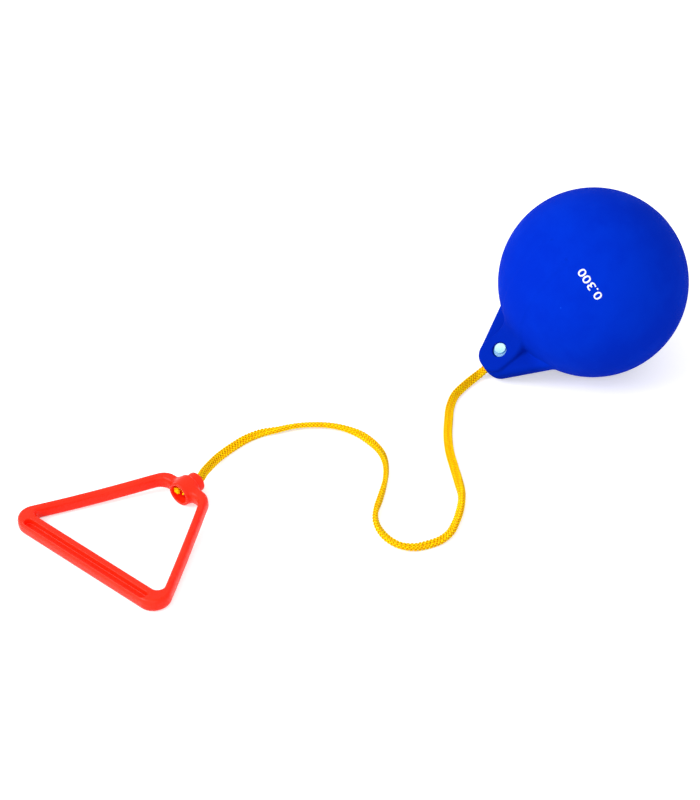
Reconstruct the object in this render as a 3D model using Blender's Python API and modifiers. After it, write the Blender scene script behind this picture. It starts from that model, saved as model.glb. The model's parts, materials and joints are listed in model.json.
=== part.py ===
"""Soft throwing hammer: a hollow ball with a lug, a doubled cord looped round the lug's pin, and a
triangular handle whose boss holds the cord's knot.

Metres, +Z up. The hammer lies on the floor z = 0, with the handle's axis along +X. The origin is on the
floor, under the middle of the box that the ball and the handle fill."""

import math

import bmesh
import bpy
import numpy as np
from mathutils import Matrix, Vector

# Layout on the floor
LAID_LENGTH = 0.4194
LAID_WIDTH = 0.2142

# Gap between pieces that seat on each other
CLEARANCE = 0.0003

# Ball
BALL_RADIUS = 0.0600
BALL_WALL = 0.0064

# Lug: a thick tongue with a thinner web on each side
LUG_HEADING = math.radians(147.2)
LUG_ROLL = math.radians(-21.1)
TIP_STANDOFF = 0.0273
TIP_ROUND = 0.0101
TONGUE_WIDTH = 0.0227
TONGUE_THICKNESS = 0.0174
TONGUE_EDGE = 0.0026
WEB_TIP_WIDTH = 0.0277
WEB_TIP_ROUND = 0.0106
WEB_THICKNESS = 0.0122
WEB_EDGE = 0.0012
WEB_SPREAD = math.radians(30.1)
LUG_FLOOR_GAP = 0.0003

# Pin across the lug
PIN_STANDOFF = 0.0122
PIN_RADIUS = 0.0046
PIN_RECESS = 0.0005
PIN_EDGE = 0.0005

# Filling plug, at the pole opposite the lug
PLUG_HEAD_RADIUS = 0.0055
PLUG_HEAD_THICKNESS = 0.0022
PLUG_STEM_RADIUS = 0.0032
PLUG_STEM_LENGTH = 0.0085

# Cord
CORD_DIAMETER = 0.0027
CORD_PAIR_GAP = 0.0002
PIN_LOOP_GAP = 0.0003
CORD_FLOOR_GAP = 0.0001
LOOP_WRAP = math.radians(15.0)
SWING = math.radians(8.0)

# Handle, measured between the centre lines of its bars
HANDLE_SPAN = 0.1212
HANDLE_DEPTH = 0.1100
BAR_HEIGHT = 0.0087
BAR_EDGE = 0.0019
ARM_WIDTH = 0.0054
GRIP_WIDTH = 0.0116
OUTER_CORNER = 0.0108
INNER_CORNER = 0.0038
SHOULDER_CORNER = 0.0105
THROAT_CORNER = 0.0080

# Groove along the grip's upper face
GROOVE_LENGTH = 0.1000
GROOVE_WIDTH = 0.0051
GROOVE_DEPTH = 0.0034
GROOVE_WALL = 0.0014

# Boss, measured from the grip's centre line
MOUTH_DISTANCE = 0.0742
BOSS_RADIUS = 0.0078
BOSS_BODY_LENGTH = 0.0109
COLLAR_RADIUS = 0.0062
COLLAR_LENGTH = 0.0058
BOSS_EDGE = 0.0010
COLLAR_EDGE = 0.0014
NECK_SETBACK = 0.0022
NECK_WIDTH = 0.0070
BORE_RADIUS = 0.0058
BORE_DEPTH = 0.0102
CORD_HOLE_RADIUS = 0.0030

# Knot in the boss, and the cord's cut ends
KNOT_SIDE_GAP = 0.0006
KNOT_LENGTH = 0.0072
KNOT_EDGE = 0.0020
END_A_LENGTH = 0.0022
END_B_LENGTH = 0.0014
END_SPREAD = 0.0023
END_LEAN = math.radians(30.0)

# Smoothness
SPHERE_SEGMENTS = 56
HOLLOW_SEGMENTS = 32
ROUND_SEGMENTS = 32
ARC_STEP = math.radians(12.0)
CORD_STEP = 0.0200
CORD_TURN = math.radians(36.0)
CURVE_DETAIL = 24
LOOP_STEPS = 8
MERGE = 0.000001
SHARP_ANGLE = math.radians(35.0)
CUT_MARGIN = 0.0020

# The cord pair's route over the floor, from the boss to the lug: x and y of the pair's middle, how far
# the pair is lifted, and how far it is rolled about its own line, in millimetres and degrees
ROUTE = [
    (-103.7, 51.9, 4.6, 30),
    (-96.0, 55.3, 2.6, 28),
    (-81.8, 59.5, 0.3, 24),
    (-69.7, 60.2, 0.0, 18),
    (-58.0, 59.5, 0.0, 13),
    (-47.8, 56.7, 0.0, 4),
    (-39.6, 51.4, 0.0, -18),
    (-30.6, 46.2, 0.0, -28),
    (-21.9, 38.7, 0.0, -28),
    (-15.1, 30.1, 0.0, -25),
    (-10.9, 20.8, 0.0, -19),
    (-9.0, 11.4, 0.0, -8),
    (-10.1, 0.6, 0.0, -8),
    (-14.5, -11.8, 0.0, -34),
    (-24.0, -23.9, 0.0, -72),
    (-36.1, -33.3, 0.0, -90),
    (-48.9, -40.7, 0.0, -82),
    (-59.7, -46.6, 0.0, -88),
    (-66.7, -53.0, 0.0, -62),
    (-71.1, -60.4, 0.0, -38),
    (-73.3, -68.4, 0.0, -25),
    (-72.6, -77.2, 0.0, -18),
    (-68.2, -83.7, 0.0, -7),
    (-60.9, -88.2, 0.0, 0),
    (-53.6, -91.0, 0.0, -6),
    (-45.4, -91.3, 0.0, -24),
    (-36.3, -88.3, 0.0, -40),
    (-25.3, -82.8, 0.0, -46),
    (-14.8, -75.6, 0.0, -60),
    (-5.7, -65.9, 0.0, -38),
    (4.0, -54.5, 0.0, -20),
    (14.2, -42.7, 0.0, -14),
    (25.8, -31.8, 0.0, -16),
    (38.5, -22.0, 0.0, -12),
    (50.0, -14.0, 0.0, 4),
    (61.2, -9.0, 0.0, 20),
    (71.5, -7.5, 0.0, 30),
    (80.5, -7.1, 0.4, 27),
]
MILLIMETRE = 0.001

# Colour, roughness and metallic value of each material
BALL_BLUE = ((0.004, 0.035, 0.56, 1.0), 0.62, 0.0)
PIN_PALE = ((0.46, 0.68, 0.80, 1.0), 0.35, 0.0)
CORD_YELLOW = ((0.93, 0.56, 0.012, 1.0), 0.85, 0.0)
HANDLE_RED = ((0.93, 0.035, 0.012, 1.0), 0.38, 0.0)

HALF_PAIR = (CORD_DIAMETER + CORD_PAIR_GAP) / 2
PIN_REACH = BALL_RADIUS + PIN_STANDOFF
TIP_REACH = BALL_RADIUS + TIP_STANDOFF
LOOP_RADIUS = PIN_RADIUS + PIN_LOOP_GAP + CORD_DIAMETER / 2
ARM_LENGTH = math.hypot(HANDLE_DEPTH, HANDLE_SPAN / 2)
ARM_SINE = HANDLE_SPAN / 2 / ARM_LENGTH
ARM_COSINE = HANDLE_DEPTH / ARM_LENGTH
SHOULDER = MOUTH_DISTANCE + BORE_DEPTH
STEP = MOUTH_DISTANCE + BOSS_BODY_LENGTH
BOSS_END = STEP + COLLAR_LENGTH
KNOT_RADIUS = BORE_RADIUS - KNOT_SIDE_GAP


def start_scene():
    """Empty the scene and make one collection for the parts and one for the cutters."""
    for item in list(bpy.data.objects):
        bpy.data.objects.remove(item, do_unlink=True)
    collections = []
    for name in ("soft_throwing_hammer", "cutters"):
        collection = bpy.data.collections.new(name)
        bpy.context.scene.collection.children.link(collection)
        collections.append(collection)
    return collections


PARTS, CUTTERS = start_scene()


def material(name, look):
    """A Principled material from a colour, a roughness and a metallic value."""
    colour, roughness, metallic = look
    made = bpy.data.materials.new(name)
    made.use_nodes = True
    shader = made.node_tree.nodes["Principled BSDF"]
    shader.inputs["Base Color"].default_value = colour
    shader.inputs["Roughness"].default_value = roughness
    shader.inputs["Metallic"].default_value = metallic
    made.diffuse_color = colour
    return made


def add_object(name, data, collection, parent=None):
    """An object of this data in a collection, under a parent."""
    made = bpy.data.objects.new(name, data)
    collection.objects.link(made)
    made.parent = parent
    if collection is CUTTERS:
        made.hide_render = True
        made.display_type = "WIRE"
    return made


def frame(name, place):
    """An empty with this world matrix."""
    made = add_object(name, None, PARTS)
    made.empty_display_size = 0.01
    made.matrix_world = place
    return made


def finish(piece, look):
    """Give a part its material and smooth shading with sharp edges kept."""
    piece.data.materials.clear()
    piece.data.materials.append(look)
    piece.data.shade_smooth()
    piece.data.set_sharp_from_angle(angle=SHARP_ANGLE)
    return piece


def bevel(piece, width):
    """Round a piece's edges."""
    made = piece.modifiers.new("rounded_edges", "BEVEL")
    made.width = width
    made.segments = 2
    made.limit_method = "ANGLE"
    made.angle_limit = SHARP_ANGLE
    return made


def combine(piece, other, operation):
    """Join another object to a piece, or cut it out of the piece."""
    made = piece.modifiers.new(other.name, "BOOLEAN")
    made.operation = operation
    made.solver = "EXACT"
    made.object = other
    return made


def arc(centre_x, centre_y, radius, start, end):
    """Points along an arc, both ends included."""
    steps = max(2, math.ceil(abs(end - start) / ARC_STEP))
    angles = [start + (end - start) * step / steps for step in range(steps + 1)]
    return [(centre_x + radius * math.cos(a), centre_y + radius * math.sin(a)) for a in angles]


def rounded_outline(corners):
    """A closed outline from corners given as x, y and the radius of each corner's arc, 0 if sharp."""
    points = []
    count = len(corners)
    for index, (x, y, radius) in enumerate(corners):
        here = Vector((x, y))
        if radius == 0.0:
            points.append((x, y))
            continue
        before = (Vector(corners[index - 1][:2]) - here).normalized()
        after = (Vector(corners[(index + 1) % count][:2]) - here).normalized()
        half_angle = before.angle(after) / 2
        centre = here + (before + after).normalized() * radius / math.sin(half_angle)
        first = here + before * radius / math.tan(half_angle) - centre
        last = here + after * radius / math.tan(half_angle) - centre
        start = math.atan2(first.y, first.x)
        turn = (math.atan2(last.y, last.x) - start + math.pi) % (2 * math.pi) - math.pi
        points += arc(centre.x, centre.y, radius, start, start + turn)
    return points


def plate(name, outlines, thickness, collection, parent, edge=0.0):
    """A flat mesh piece: closed outlines in its XY plane, the outer one counter-clockwise and those of
    holes clockwise, filled and thickened both ways along Z, with edges rounded by a radius."""
    data = bpy.data.curves.new(name, "CURVE")
    data.dimensions = "2D"
    data.fill_mode = "BOTH"
    data.extrude = thickness / 2 - edge
    data.bevel_depth = edge
    data.bevel_resolution = 2
    data.offset = -edge
    data.render_resolution_u = 0
    for outline in outlines:
        spline = data.splines.new("POLY")
        spline.points.add(len(outline) - 1)
        for point, (x, y) in zip(spline.points, outline):
            point.co = (x, y, 0.0, 1.0)
        spline.use_cyclic_u = True
    flat = add_object(name + "_outline", data, CUTTERS)
    bpy.context.view_layer.update()
    evaluated = flat.evaluated_get(bpy.context.evaluated_depsgraph_get())
    mesh = bpy.data.meshes.new_from_object(evaluated)
    mesh.name = name
    weld_mesh(mesh)
    bpy.data.objects.remove(flat, do_unlink=True)
    return add_object(name, mesh, collection, parent)


def weld_mesh(mesh):
    """Join a mesh's coincident points."""
    shape = bmesh.new()
    shape.from_mesh(mesh)
    bmesh.ops.remove_doubles(shape, verts=shape.verts, dist=MERGE)
    shape.to_mesh(mesh)
    shape.free()


def turned(name, profile, collection, parent, segments=ROUND_SEGMENTS):
    """A turned piece about its Z axis, from points (radius, height) that run from top to bottom."""
    mesh = bpy.data.meshes.new(name)
    edges = [(index, index + 1) for index in range(len(profile) - 1)]
    mesh.from_pydata([(radius, 0.0, height) for radius, height in profile], edges, [])
    piece = add_object(name, mesh, collection, parent)
    screw = piece.modifiers.new("turned", "SCREW")
    screw.axis = "Z"
    screw.steps = segments
    screw.render_steps = segments
    screw.use_merge_vertices = True
    screw.merge_threshold = MERGE
    return piece


def ball(name, radius, segments, collection, parent):
    """A sphere with its poles on Z."""
    mesh = bpy.data.meshes.new(name)
    shape = bmesh.new()
    bmesh.ops.create_uvsphere(shape, u_segments=segments, v_segments=segments // 2, radius=radius)
    shape.to_mesh(mesh)
    shape.free()
    return add_object(name, mesh, collection, parent)


def cylinder(name, radius, length, collection, parent):
    """A cylinder along Z, centred on its origin."""
    mesh = bpy.data.meshes.new(name)
    shape = bmesh.new()
    bmesh.ops.create_cone(
        shape, cap_ends=True, segments=ROUND_SEGMENTS, radius1=radius, radius2=radius, depth=length
    )
    shape.to_mesh(mesh)
    shape.free()
    return add_object(name, mesh, collection, parent)


def tip_height(drop):
    """Height of the lug tip's lowest point over the floor when the lug points down by this angle."""
    across = math.hypot(math.sin(drop), math.sin(LUG_ROLL) * math.cos(drop))
    through = math.cos(LUG_ROLL) * math.cos(drop)
    middle = BALL_RADIUS - (TIP_REACH - TIP_ROUND) * math.sin(drop)
    corner = (TONGUE_WIDTH / 2 - TIP_ROUND) * abs(math.sin(LUG_ROLL)) * math.cos(drop)
    rim = (TIP_ROUND - TONGUE_EDGE) * across + (TONGUE_THICKNESS / 2 - TONGUE_EDGE) * through
    return middle - corner - rim - TONGUE_EDGE


def lug_drop():
    """How far the lug points down where its tip rests on the floor."""
    low, high = 0.0, math.radians(80.0)
    for _ in range(40):
        drop = (low + high) / 2
        if tip_height(drop) > LUG_FLOOR_GAP:
            low = drop
        else:
            high = drop
    return low


def ball_place():
    """The ball's frame: X across the lug, Y along the pin, Z from the ball's centre along the lug."""
    drop = lug_drop()
    along = Vector(
        (
            math.cos(LUG_HEADING) * math.cos(drop),
            math.sin(LUG_HEADING) * math.cos(drop),
            -math.sin(drop),
        )
    )
    level = Vector((-math.sin(LUG_HEADING), math.cos(LUG_HEADING), 0.0))
    upward = along.cross(level)
    across = level * math.cos(LUG_ROLL) + upward * math.sin(LUG_ROLL)
    pin = along.cross(across)
    place = Matrix((across, pin, along)).transposed().to_4x4()
    place.translation = (
        LAID_LENGTH / 2 - BALL_RADIUS,
        BALL_RADIUS - LAID_WIDTH / 2,
        BALL_RADIUS,
    )
    return place


def arm_edge(x, offset):
    """The y of a line beside the arm's centre line, at this x; a positive offset is outward."""
    return (offset + (HANDLE_DEPTH - x) * ARM_SINE) / ARM_COSINE


def mirrored(corners):
    """Corners on the +Y side, followed by their mirror images on the -Y side."""
    return corners + [(x, -y, radius) for x, y, radius in reversed(corners)]


def handle_outlines():
    """The handle's outer outline and the outline of the triangle inside it."""
    half_grip = GRIP_WIDTH / 2
    half_arm = ARM_WIDTH / 2
    back = MOUTH_DISTANCE + NECK_SETBACK
    front = back + NECK_WIDTH
    outer = mirrored(
        [
            (-half_grip, arm_edge(-half_grip, half_arm), OUTER_CORNER),
            (front, arm_edge(front, half_arm), SHOULDER_CORNER),
        ]
    )
    inner = mirrored(
        [
            (half_grip, arm_edge(half_grip, -half_arm), INNER_CORNER),
            (back, arm_edge(back, -half_arm), THROAT_CORNER),
        ]
    )
    return rounded_outline(outer)[::-1], rounded_outline(inner)


def handle_place():
    """The handle's frame: X along the boss from the grip's middle, tilted because the boss is thicker
    than the bars, so that it lies on the mouth's rim and on the grip's outer edge."""
    half_flat = GRIP_WIDTH / 2 - BAR_EDGE
    half_side = BAR_HEIGHT / 2 - BAR_EDGE
    rise = BOSS_RADIUS - BAR_HEIGHT / 2
    tilt = math.atan(rise / (MOUTH_DISTANCE + BOSS_EDGE + half_flat))
    outer, _ = handle_outlines()
    place = Matrix.Rotation(-tilt, 4, "Y")
    place.translation = (
        half_flat * math.cos(tilt) + half_side * math.sin(tilt) + BAR_EDGE - LAID_LENGTH / 2,
        LAID_WIDTH / 2 - max(y for _, y in outer),
        half_flat * math.sin(tilt) + half_side * math.cos(tilt) + BAR_EDGE,
    )
    return place


BALL_FRAME = frame("ball_frame", ball_place())
HANDLE_FRAME = frame("handle_frame", handle_place())
ALONG_BOSS = Matrix.Rotation(math.pi / 2, 4, "Y")
ALONG_PIN = Matrix.Rotation(-math.pi / 2, 4, "X")
IN_LUG_PLANE = Matrix.Rotation(math.pi / 2, 4, "X")


def web_outline():
    """The webs' outline: a round tip with a straight flank on each side, down into the ball."""
    centre = TIP_REACH - TIP_ROUND
    root = BALL_RADIUS - 2.5 * BALL_WALL
    aside = WEB_TIP_WIDTH / 2 - WEB_TIP_ROUND
    tip = arc(aside, centre, WEB_TIP_ROUND, WEB_SPREAD, math.pi / 2)
    tip += arc(-aside, centre, WEB_TIP_ROUND, math.pi / 2, math.pi - WEB_SPREAD)
    half_root = tip[0][0] + (tip[0][1] - root) * math.tan(WEB_SPREAD)
    return [(half_root, root)] + tip + [(-half_root, root)]


def tongue_outline():
    """The tongue's outline, from inside the ball to its rounded tip."""
    half = TONGUE_WIDTH / 2
    root = BALL_RADIUS - 2 * BALL_WALL
    return rounded_outline(
        [
            (-half, root, 0.0),
            (half, root, 0.0),
            (half, TIP_REACH, TIP_ROUND),
            (-half, TIP_REACH, TIP_ROUND),
        ]
    )


def strand_offset(reach):
    """Half the spacing of the two strands in the lug, at this distance from the ball's centre."""
    wrap_reach = PIN_REACH + LOOP_RADIUS * math.sin(LOOP_WRAP)
    wrap_offset = LOOP_RADIUS * math.cos(LOOP_WRAP)
    mouth_offset = HALF_PAIR + CORD_DIAMETER / 4
    share = (reach - wrap_reach) / (TIP_REACH - wrap_reach)
    return wrap_offset + (mouth_offset - wrap_offset) * share


def slot_outline():
    """The pocket for the cord: round behind the pin, and open at the tip as wide as the cord swings."""
    radius = LOOP_RADIUS + CORD_DIAMETER / 2 + CLEARANCE
    end = TIP_REACH + CUT_MARGIN
    swung = (TIP_REACH - PIN_REACH) * math.sin(SWING)
    half_mouth = strand_offset(TIP_REACH) + CORD_DIAMETER / 2 + swung + CLEARANCE
    return [(half_mouth, end), (-half_mouth, end)] + arc(0.0, PIN_REACH, radius, math.pi, 2 * math.pi)


def plug_profile(gap):
    """The plug's turned profile at the pole opposite the lug, or its seat's, larger by a gap."""
    top = PLUG_STEM_LENGTH - BALL_RADIUS + gap
    seat = PLUG_HEAD_THICKNESS - BALL_RADIUS + gap
    head = PLUG_HEAD_RADIUS + gap
    stem = PLUG_STEM_RADIUS + gap
    profile = [(0.0, top), (stem, top), (stem, seat), (head, seat)]
    if gap:
        return profile + [(head, -BALL_RADIUS - CUT_MARGIN), (0.0, -BALL_RADIUS - CUT_MARGIN)]
    radii = [head * step / 4 for step in (4, 3, 2, 1)]
    crown = [(radius, -math.sqrt(BALL_RADIUS**2 - radius**2)) for radius in radii]
    return profile + crown + [(0.0, -BALL_RADIUS)]


def make_ball_shell(look):
    """The hollow ball with its lug, cord slot, pin hole and plug hole."""
    shell = ball("ball_shell", BALL_RADIUS, SPHERE_SEGMENTS, PARTS, BALL_FRAME)
    web = plate("lug_webs", [web_outline()], WEB_THICKNESS, CUTTERS, BALL_FRAME, WEB_EDGE)
    web.matrix_local = IN_LUG_PLANE
    tongue = plate(
        "lug_tongue", [tongue_outline()], TONGUE_THICKNESS, CUTTERS, BALL_FRAME, TONGUE_EDGE
    )
    tongue.matrix_local = IN_LUG_PLANE
    combine(web, tongue, "UNION")
    combine(shell, web, "UNION")
    hollow = ball("hollow", BALL_RADIUS - BALL_WALL, HOLLOW_SEGMENTS, CUTTERS, BALL_FRAME)
    combine(shell, hollow, "DIFFERENCE")
    slot_thickness = CORD_DIAMETER + 2 * CLEARANCE
    slot = plate("cord_slot", [slot_outline()], slot_thickness, CUTTERS, BALL_FRAME)
    slot.matrix_local = IN_LUG_PLANE
    combine(shell, slot, "DIFFERENCE")
    hole_length = TONGUE_THICKNESS + 2 * CUT_MARGIN
    hole = cylinder("pin_hole", PIN_RADIUS + CLEARANCE, hole_length, CUTTERS, BALL_FRAME)
    hole.matrix_local = Matrix.Translation((0.0, 0.0, PIN_REACH)) @ ALONG_PIN
    combine(shell, hole, "DIFFERENCE")
    seat = turned("plug_seat", plug_profile(CLEARANCE), CUTTERS, BALL_FRAME)
    combine(shell, seat, "DIFFERENCE")
    return finish(shell, look)


def make_fill_plug(look):
    """The plug that closes the ball: a flush head and a stem through the wall."""
    return finish(turned("fill_plug", plug_profile(0.0), PARTS, BALL_FRAME), look)


def make_cross_pin(look):
    """The pin across the lug, its ends just under the lug's faces."""
    length = TONGUE_THICKNESS - 2 * PIN_RECESS
    pin = cylinder("cross_pin", PIN_RADIUS, length, PARTS, BALL_FRAME)
    pin.matrix_local = Matrix.Translation((0.0, 0.0, PIN_REACH)) @ ALONG_PIN
    bevel(pin, PIN_EDGE)
    return finish(pin, look)


def boss_profile():
    """The boss's outside, from the collar's round end to the mouth's rim."""
    collar = arc(
        COLLAR_RADIUS - COLLAR_EDGE, BOSS_END - COLLAR_EDGE, COLLAR_EDGE, math.pi / 2, 0.0
    )
    step = arc(BOSS_RADIUS - BOSS_EDGE, STEP - BOSS_EDGE, BOSS_EDGE, math.pi / 2, 0.0)
    rim = arc(
        BOSS_RADIUS - BOSS_EDGE, MOUTH_DISTANCE + BOSS_EDGE, BOSS_EDGE, 0.0, -math.pi / 2
    )
    start = [(0.0, BOSS_END)]
    return start + collar + [(COLLAR_RADIUS, STEP)] + step + rim + [(0.0, MOUTH_DISTANCE)]


def bore_profile():
    """The hole for the cord and, up to the mouth, the wider bore for the knot."""
    end = BOSS_END + CUT_MARGIN
    mouth = MOUTH_DISTANCE - CUT_MARGIN
    return [
        (0.0, end),
        (CORD_HOLE_RADIUS, end),
        (CORD_HOLE_RADIUS, SHOULDER),
        (BORE_RADIUS, SHOULDER),
        (BORE_RADIUS, mouth),
        (0.0, mouth),
    ]


def groove_outline():
    """The long groove's outline, with round ends, beside the grip's outer wall."""
    middle = GROOVE_WALL + GROOVE_WIDTH / 2 - GRIP_WIDTH / 2
    half = GROOVE_WIDTH / 2
    straight = GROOVE_LENGTH / 2 - half
    return arc(middle, straight, half, 0.0, math.pi) + arc(
        middle, -straight, half, math.pi, 2 * math.pi
    )


def make_handle(look):
    """The triangular handle with its grooved grip, and the boss on the axis of its swivel."""
    handle = plate("handle", handle_outlines(), BAR_HEIGHT, PARTS, HANDLE_FRAME, BAR_EDGE)
    boss = turned("boss", boss_profile(), CUTTERS, HANDLE_FRAME)
    boss.matrix_local = ALONG_BOSS
    combine(handle, boss, "UNION")
    bore = turned("bore", bore_profile(), CUTTERS, HANDLE_FRAME)
    bore.matrix_local = ALONG_BOSS
    combine(handle, bore, "DIFFERENCE")
    groove = plate("groove", [groove_outline()], 2 * GROOVE_DEPTH, CUTTERS, HANDLE_FRAME)
    groove.location = (0.0, 0.0, BAR_HEIGHT / 2)
    combine(handle, groove, "DIFFERENCE")
    return finish(handle, look)


def make_stopper_knot(look):
    """The knot as a barrel that seats on the bore's shoulder."""
    top = SHOULDER - CLEARANCE
    base = top - KNOT_LENGTH
    inset = KNOT_RADIUS - KNOT_EDGE
    front = arc(inset, top - KNOT_EDGE, KNOT_EDGE, math.pi / 2, 0.0)
    back = arc(inset, base + KNOT_EDGE, KNOT_EDGE, 0.0, -math.pi / 2)
    profile = [(0.0, top)] + front + back + [(0.0, base)]
    knot = turned("stopper_knot", profile, PARTS, HANDLE_FRAME, 24)
    knot.matrix_local = ALONG_BOSS
    return finish(knot, look)


def make_cord_end(name, length, side, look):
    """One cut end of the cord, standing out of the knot towards the mouth."""
    start = SHOULDER - KNOT_LENGTH - 2 * CLEARANCE
    end = cylinder(name, CORD_DIAMETER / 2, length, PARTS, HANDLE_FRAME)
    offset = END_SPREAD * side
    place = Vector((start - length / 2, offset * math.cos(END_LEAN), offset * math.sin(END_LEAN)))
    end.matrix_local = Matrix.Translation(place) @ ALONG_BOSS
    bevel(end, CORD_DIAMETER / 8)
    return finish(end, look)


def route_rows():
    """The pair's middle and its half spacing as a vector, at each route point over the floor."""
    middles = np.array([row[:2] for row in ROUTE]) * MILLIMETRE
    runs = np.gradient(middles, axis=0)
    runs /= np.linalg.norm(runs, axis=1, keepdims=True)
    rows = []
    for (x, y), (run_x, run_y), row in zip(middles, runs, ROUTE):
        roll = math.radians(row[3])
        flat = HALF_PAIR * math.cos(roll)
        rise = HALF_PAIR * math.sin(roll)
        height = CORD_FLOOR_GAP + CORD_DIAMETER / 2 + abs(rise) + row[2] * MILLIMETRE
        rows.append((x, y, height, -run_y * flat, run_x * flat, rise))
    return rows


def boss_rows():
    """The same, inside the boss: from the knot's face straight out through the collar."""
    roll = math.radians(ROUTE[0][3])
    place = HANDLE_FRAME.matrix_world
    spread = place.to_3x3() @ Vector((0.0, math.cos(roll), math.sin(roll))) * HALF_PAIR
    reaches = (SHOULDER, (SHOULDER + BOSS_END) / 2, BOSS_END)
    return [(*(place @ Vector((reach, 0.0, 0.0))), *spread) for reach in reaches]


def lug_rows():
    """The same, from just outside the lug's tip to where the strands meet the pin."""
    place = BALL_FRAME.matrix_world
    wrap_reach = PIN_REACH + LOOP_RADIUS * math.sin(LOOP_WRAP)
    outside = TIP_REACH + 2 * CORD_DIAMETER
    rows = []
    for reach in (outside, TIP_REACH, (TIP_REACH + wrap_reach) / 2, wrap_reach):
        half = max(HALF_PAIR, strand_offset(reach))
        spread = place.to_3x3() @ Vector((-half, 0.0, 0.0))
        rows.append((*(place @ Vector((0.0, 0.0, reach))), *spread))
    return rows


def pin_loop():
    """The strand's way round the pin, from the one side of the lug's slot to the other."""
    place = BALL_FRAME.matrix_world
    start = math.pi - LOOP_WRAP
    sweep = math.pi + 2 * LOOP_WRAP
    points = []
    for step in range(1, LOOP_STEPS):
        angle = start + sweep * step / LOOP_STEPS
        across = LOOP_RADIUS * math.cos(angle)
        along = PIN_REACH + LOOP_RADIUS * math.sin(angle)
        points.append(place @ Vector((across, 0.0, along)))
    return points


def smooth_rows(rows):
    """Rows read from a smooth curve through the given ones, closer together where it turns more."""
    rows = np.array(rows)
    knots = np.linalg.norm(np.diff(rows[:, :3], axis=0), axis=1)
    knots = np.concatenate([[0.0], np.cumsum(knots)])
    slopes = np.gradient(rows, knots, axis=0)
    dense = []
    for index in range(len(rows) - 1):
        span = knots[index + 1] - knots[index]
        for share in np.arange(CURVE_DETAIL) / CURVE_DETAIL:
            rest = 1.0 - share
            dense.append(
                rows[index] * rest * rest * (1.0 + 2.0 * share)
                + rows[index + 1] * share * share * (3.0 - 2.0 * share)
                + slopes[index] * span * share * rest * rest
                - slopes[index + 1] * span * share * share * rest
            )
    dense = np.array(dense + [rows[-1]])
    runs = np.diff(dense[:, :3], axis=0)
    lengths = np.linalg.norm(runs, axis=1)
    runs /= lengths[:, None]
    turns = np.arccos(np.clip(np.sum(runs[1:] * runs[:-1], axis=1), -1.0, 1.0))
    worth = lengths / CORD_STEP + np.concatenate([[0.0], turns]) / CORD_TURN
    worth = np.concatenate([[0.0], np.cumsum(worth)])
    stations = np.linspace(0.0, worth[-1], math.ceil(worth[-1]) + 1)
    return np.array([np.interp(stations, worth, column) for column in dense.T]).T


def make_cord(look):
    """The doubled cord: out of the boss, along the floor, round the pin and back beside itself."""
    rows = smooth_rows(boss_rows() + route_rows() + lug_rows())
    out_strand = [Vector(row[:3] + row[3:]) for row in rows]
    back_strand = [Vector(row[:3] - row[3:]) for row in reversed(rows)]
    points = out_strand + pin_loop() + back_strand
    data = bpy.data.curves.new("cord", "CURVE")
    data.dimensions = "3D"
    data.bevel_depth = CORD_DIAMETER / 2
    data.bevel_resolution = 2
    data.use_fill_caps = True
    data.render_resolution_u = 0
    origin = BALL_FRAME.matrix_world @ Vector((0.0, 0.0, PIN_REACH))
    spline = data.splines.new("POLY")
    spline.points.add(len(points) - 1)
    for point, place in zip(spline.points, points):
        point.co = (*(place - origin), 1.0)
    data.materials.append(look)
    cord = add_object("cord", data, PARTS)
    cord.location = origin
    return cord


def main():
    blue = material("ball_blue", BALL_BLUE)
    pale = material("pin_pale", PIN_PALE)
    yellow = material("cord_yellow", CORD_YELLOW)
    red = material("handle_red", HANDLE_RED)
    make_ball_shell(blue)
    make_fill_plug(blue)
    make_cross_pin(pale)
    make_cord(yellow)
    make_stopper_knot(yellow)
    make_cord_end("cord_end_a", END_A_LENGTH, 1, yellow)
    make_cord_end("cord_end_b", END_B_LENGTH, -1, yellow)
    make_handle(red)
    bpy.context.view_layer.update()


main()
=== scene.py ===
"""Soft throwing hammer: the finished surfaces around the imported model.

Metres, +Z up, in the model's frame. The ball, the lug's pin, the filling plug and the handle are moulded
shapes, each a distance field whose zero level becomes the mesh. The cord is a core with a braid of
separate stitches, and its knot and cut ends sit in the handle's boss."""

import json
import math

import bmesh
import bpy
import numpy as np
from mathutils import Matrix, Vector


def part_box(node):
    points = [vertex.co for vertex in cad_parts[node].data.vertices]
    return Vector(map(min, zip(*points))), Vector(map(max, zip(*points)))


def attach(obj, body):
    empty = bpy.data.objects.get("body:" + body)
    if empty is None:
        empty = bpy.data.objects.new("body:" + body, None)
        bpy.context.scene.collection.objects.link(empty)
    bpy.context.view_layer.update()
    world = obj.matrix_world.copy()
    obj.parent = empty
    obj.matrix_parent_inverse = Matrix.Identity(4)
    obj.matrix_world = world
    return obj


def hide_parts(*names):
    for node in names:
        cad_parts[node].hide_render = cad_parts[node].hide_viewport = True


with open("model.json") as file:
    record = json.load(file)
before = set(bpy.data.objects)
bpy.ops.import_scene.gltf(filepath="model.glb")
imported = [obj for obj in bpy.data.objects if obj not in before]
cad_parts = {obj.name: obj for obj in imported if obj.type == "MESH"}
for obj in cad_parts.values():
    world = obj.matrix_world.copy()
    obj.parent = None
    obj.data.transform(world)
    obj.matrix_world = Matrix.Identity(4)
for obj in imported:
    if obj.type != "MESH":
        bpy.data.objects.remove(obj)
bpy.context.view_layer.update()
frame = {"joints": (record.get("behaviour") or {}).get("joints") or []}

BALL_BODY = "ball"
CORD_BODY = "cord_run"
GRIP_BODY = "grip"

# Camera, at the photograph's viewing angle
CAMERA_PLACE = (-0.82805, -0.70045, 0.8476)
CAMERA_ELEVATION = math.radians(37.07)
CAMERA_AZIMUTH = math.radians(-48.739)
CAMERA_LENS = 100.0
CAMERA_SENSOR = 36.0
CAMERA_NEAR = 0.01
CAMERA_FAR = 50.0

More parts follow.
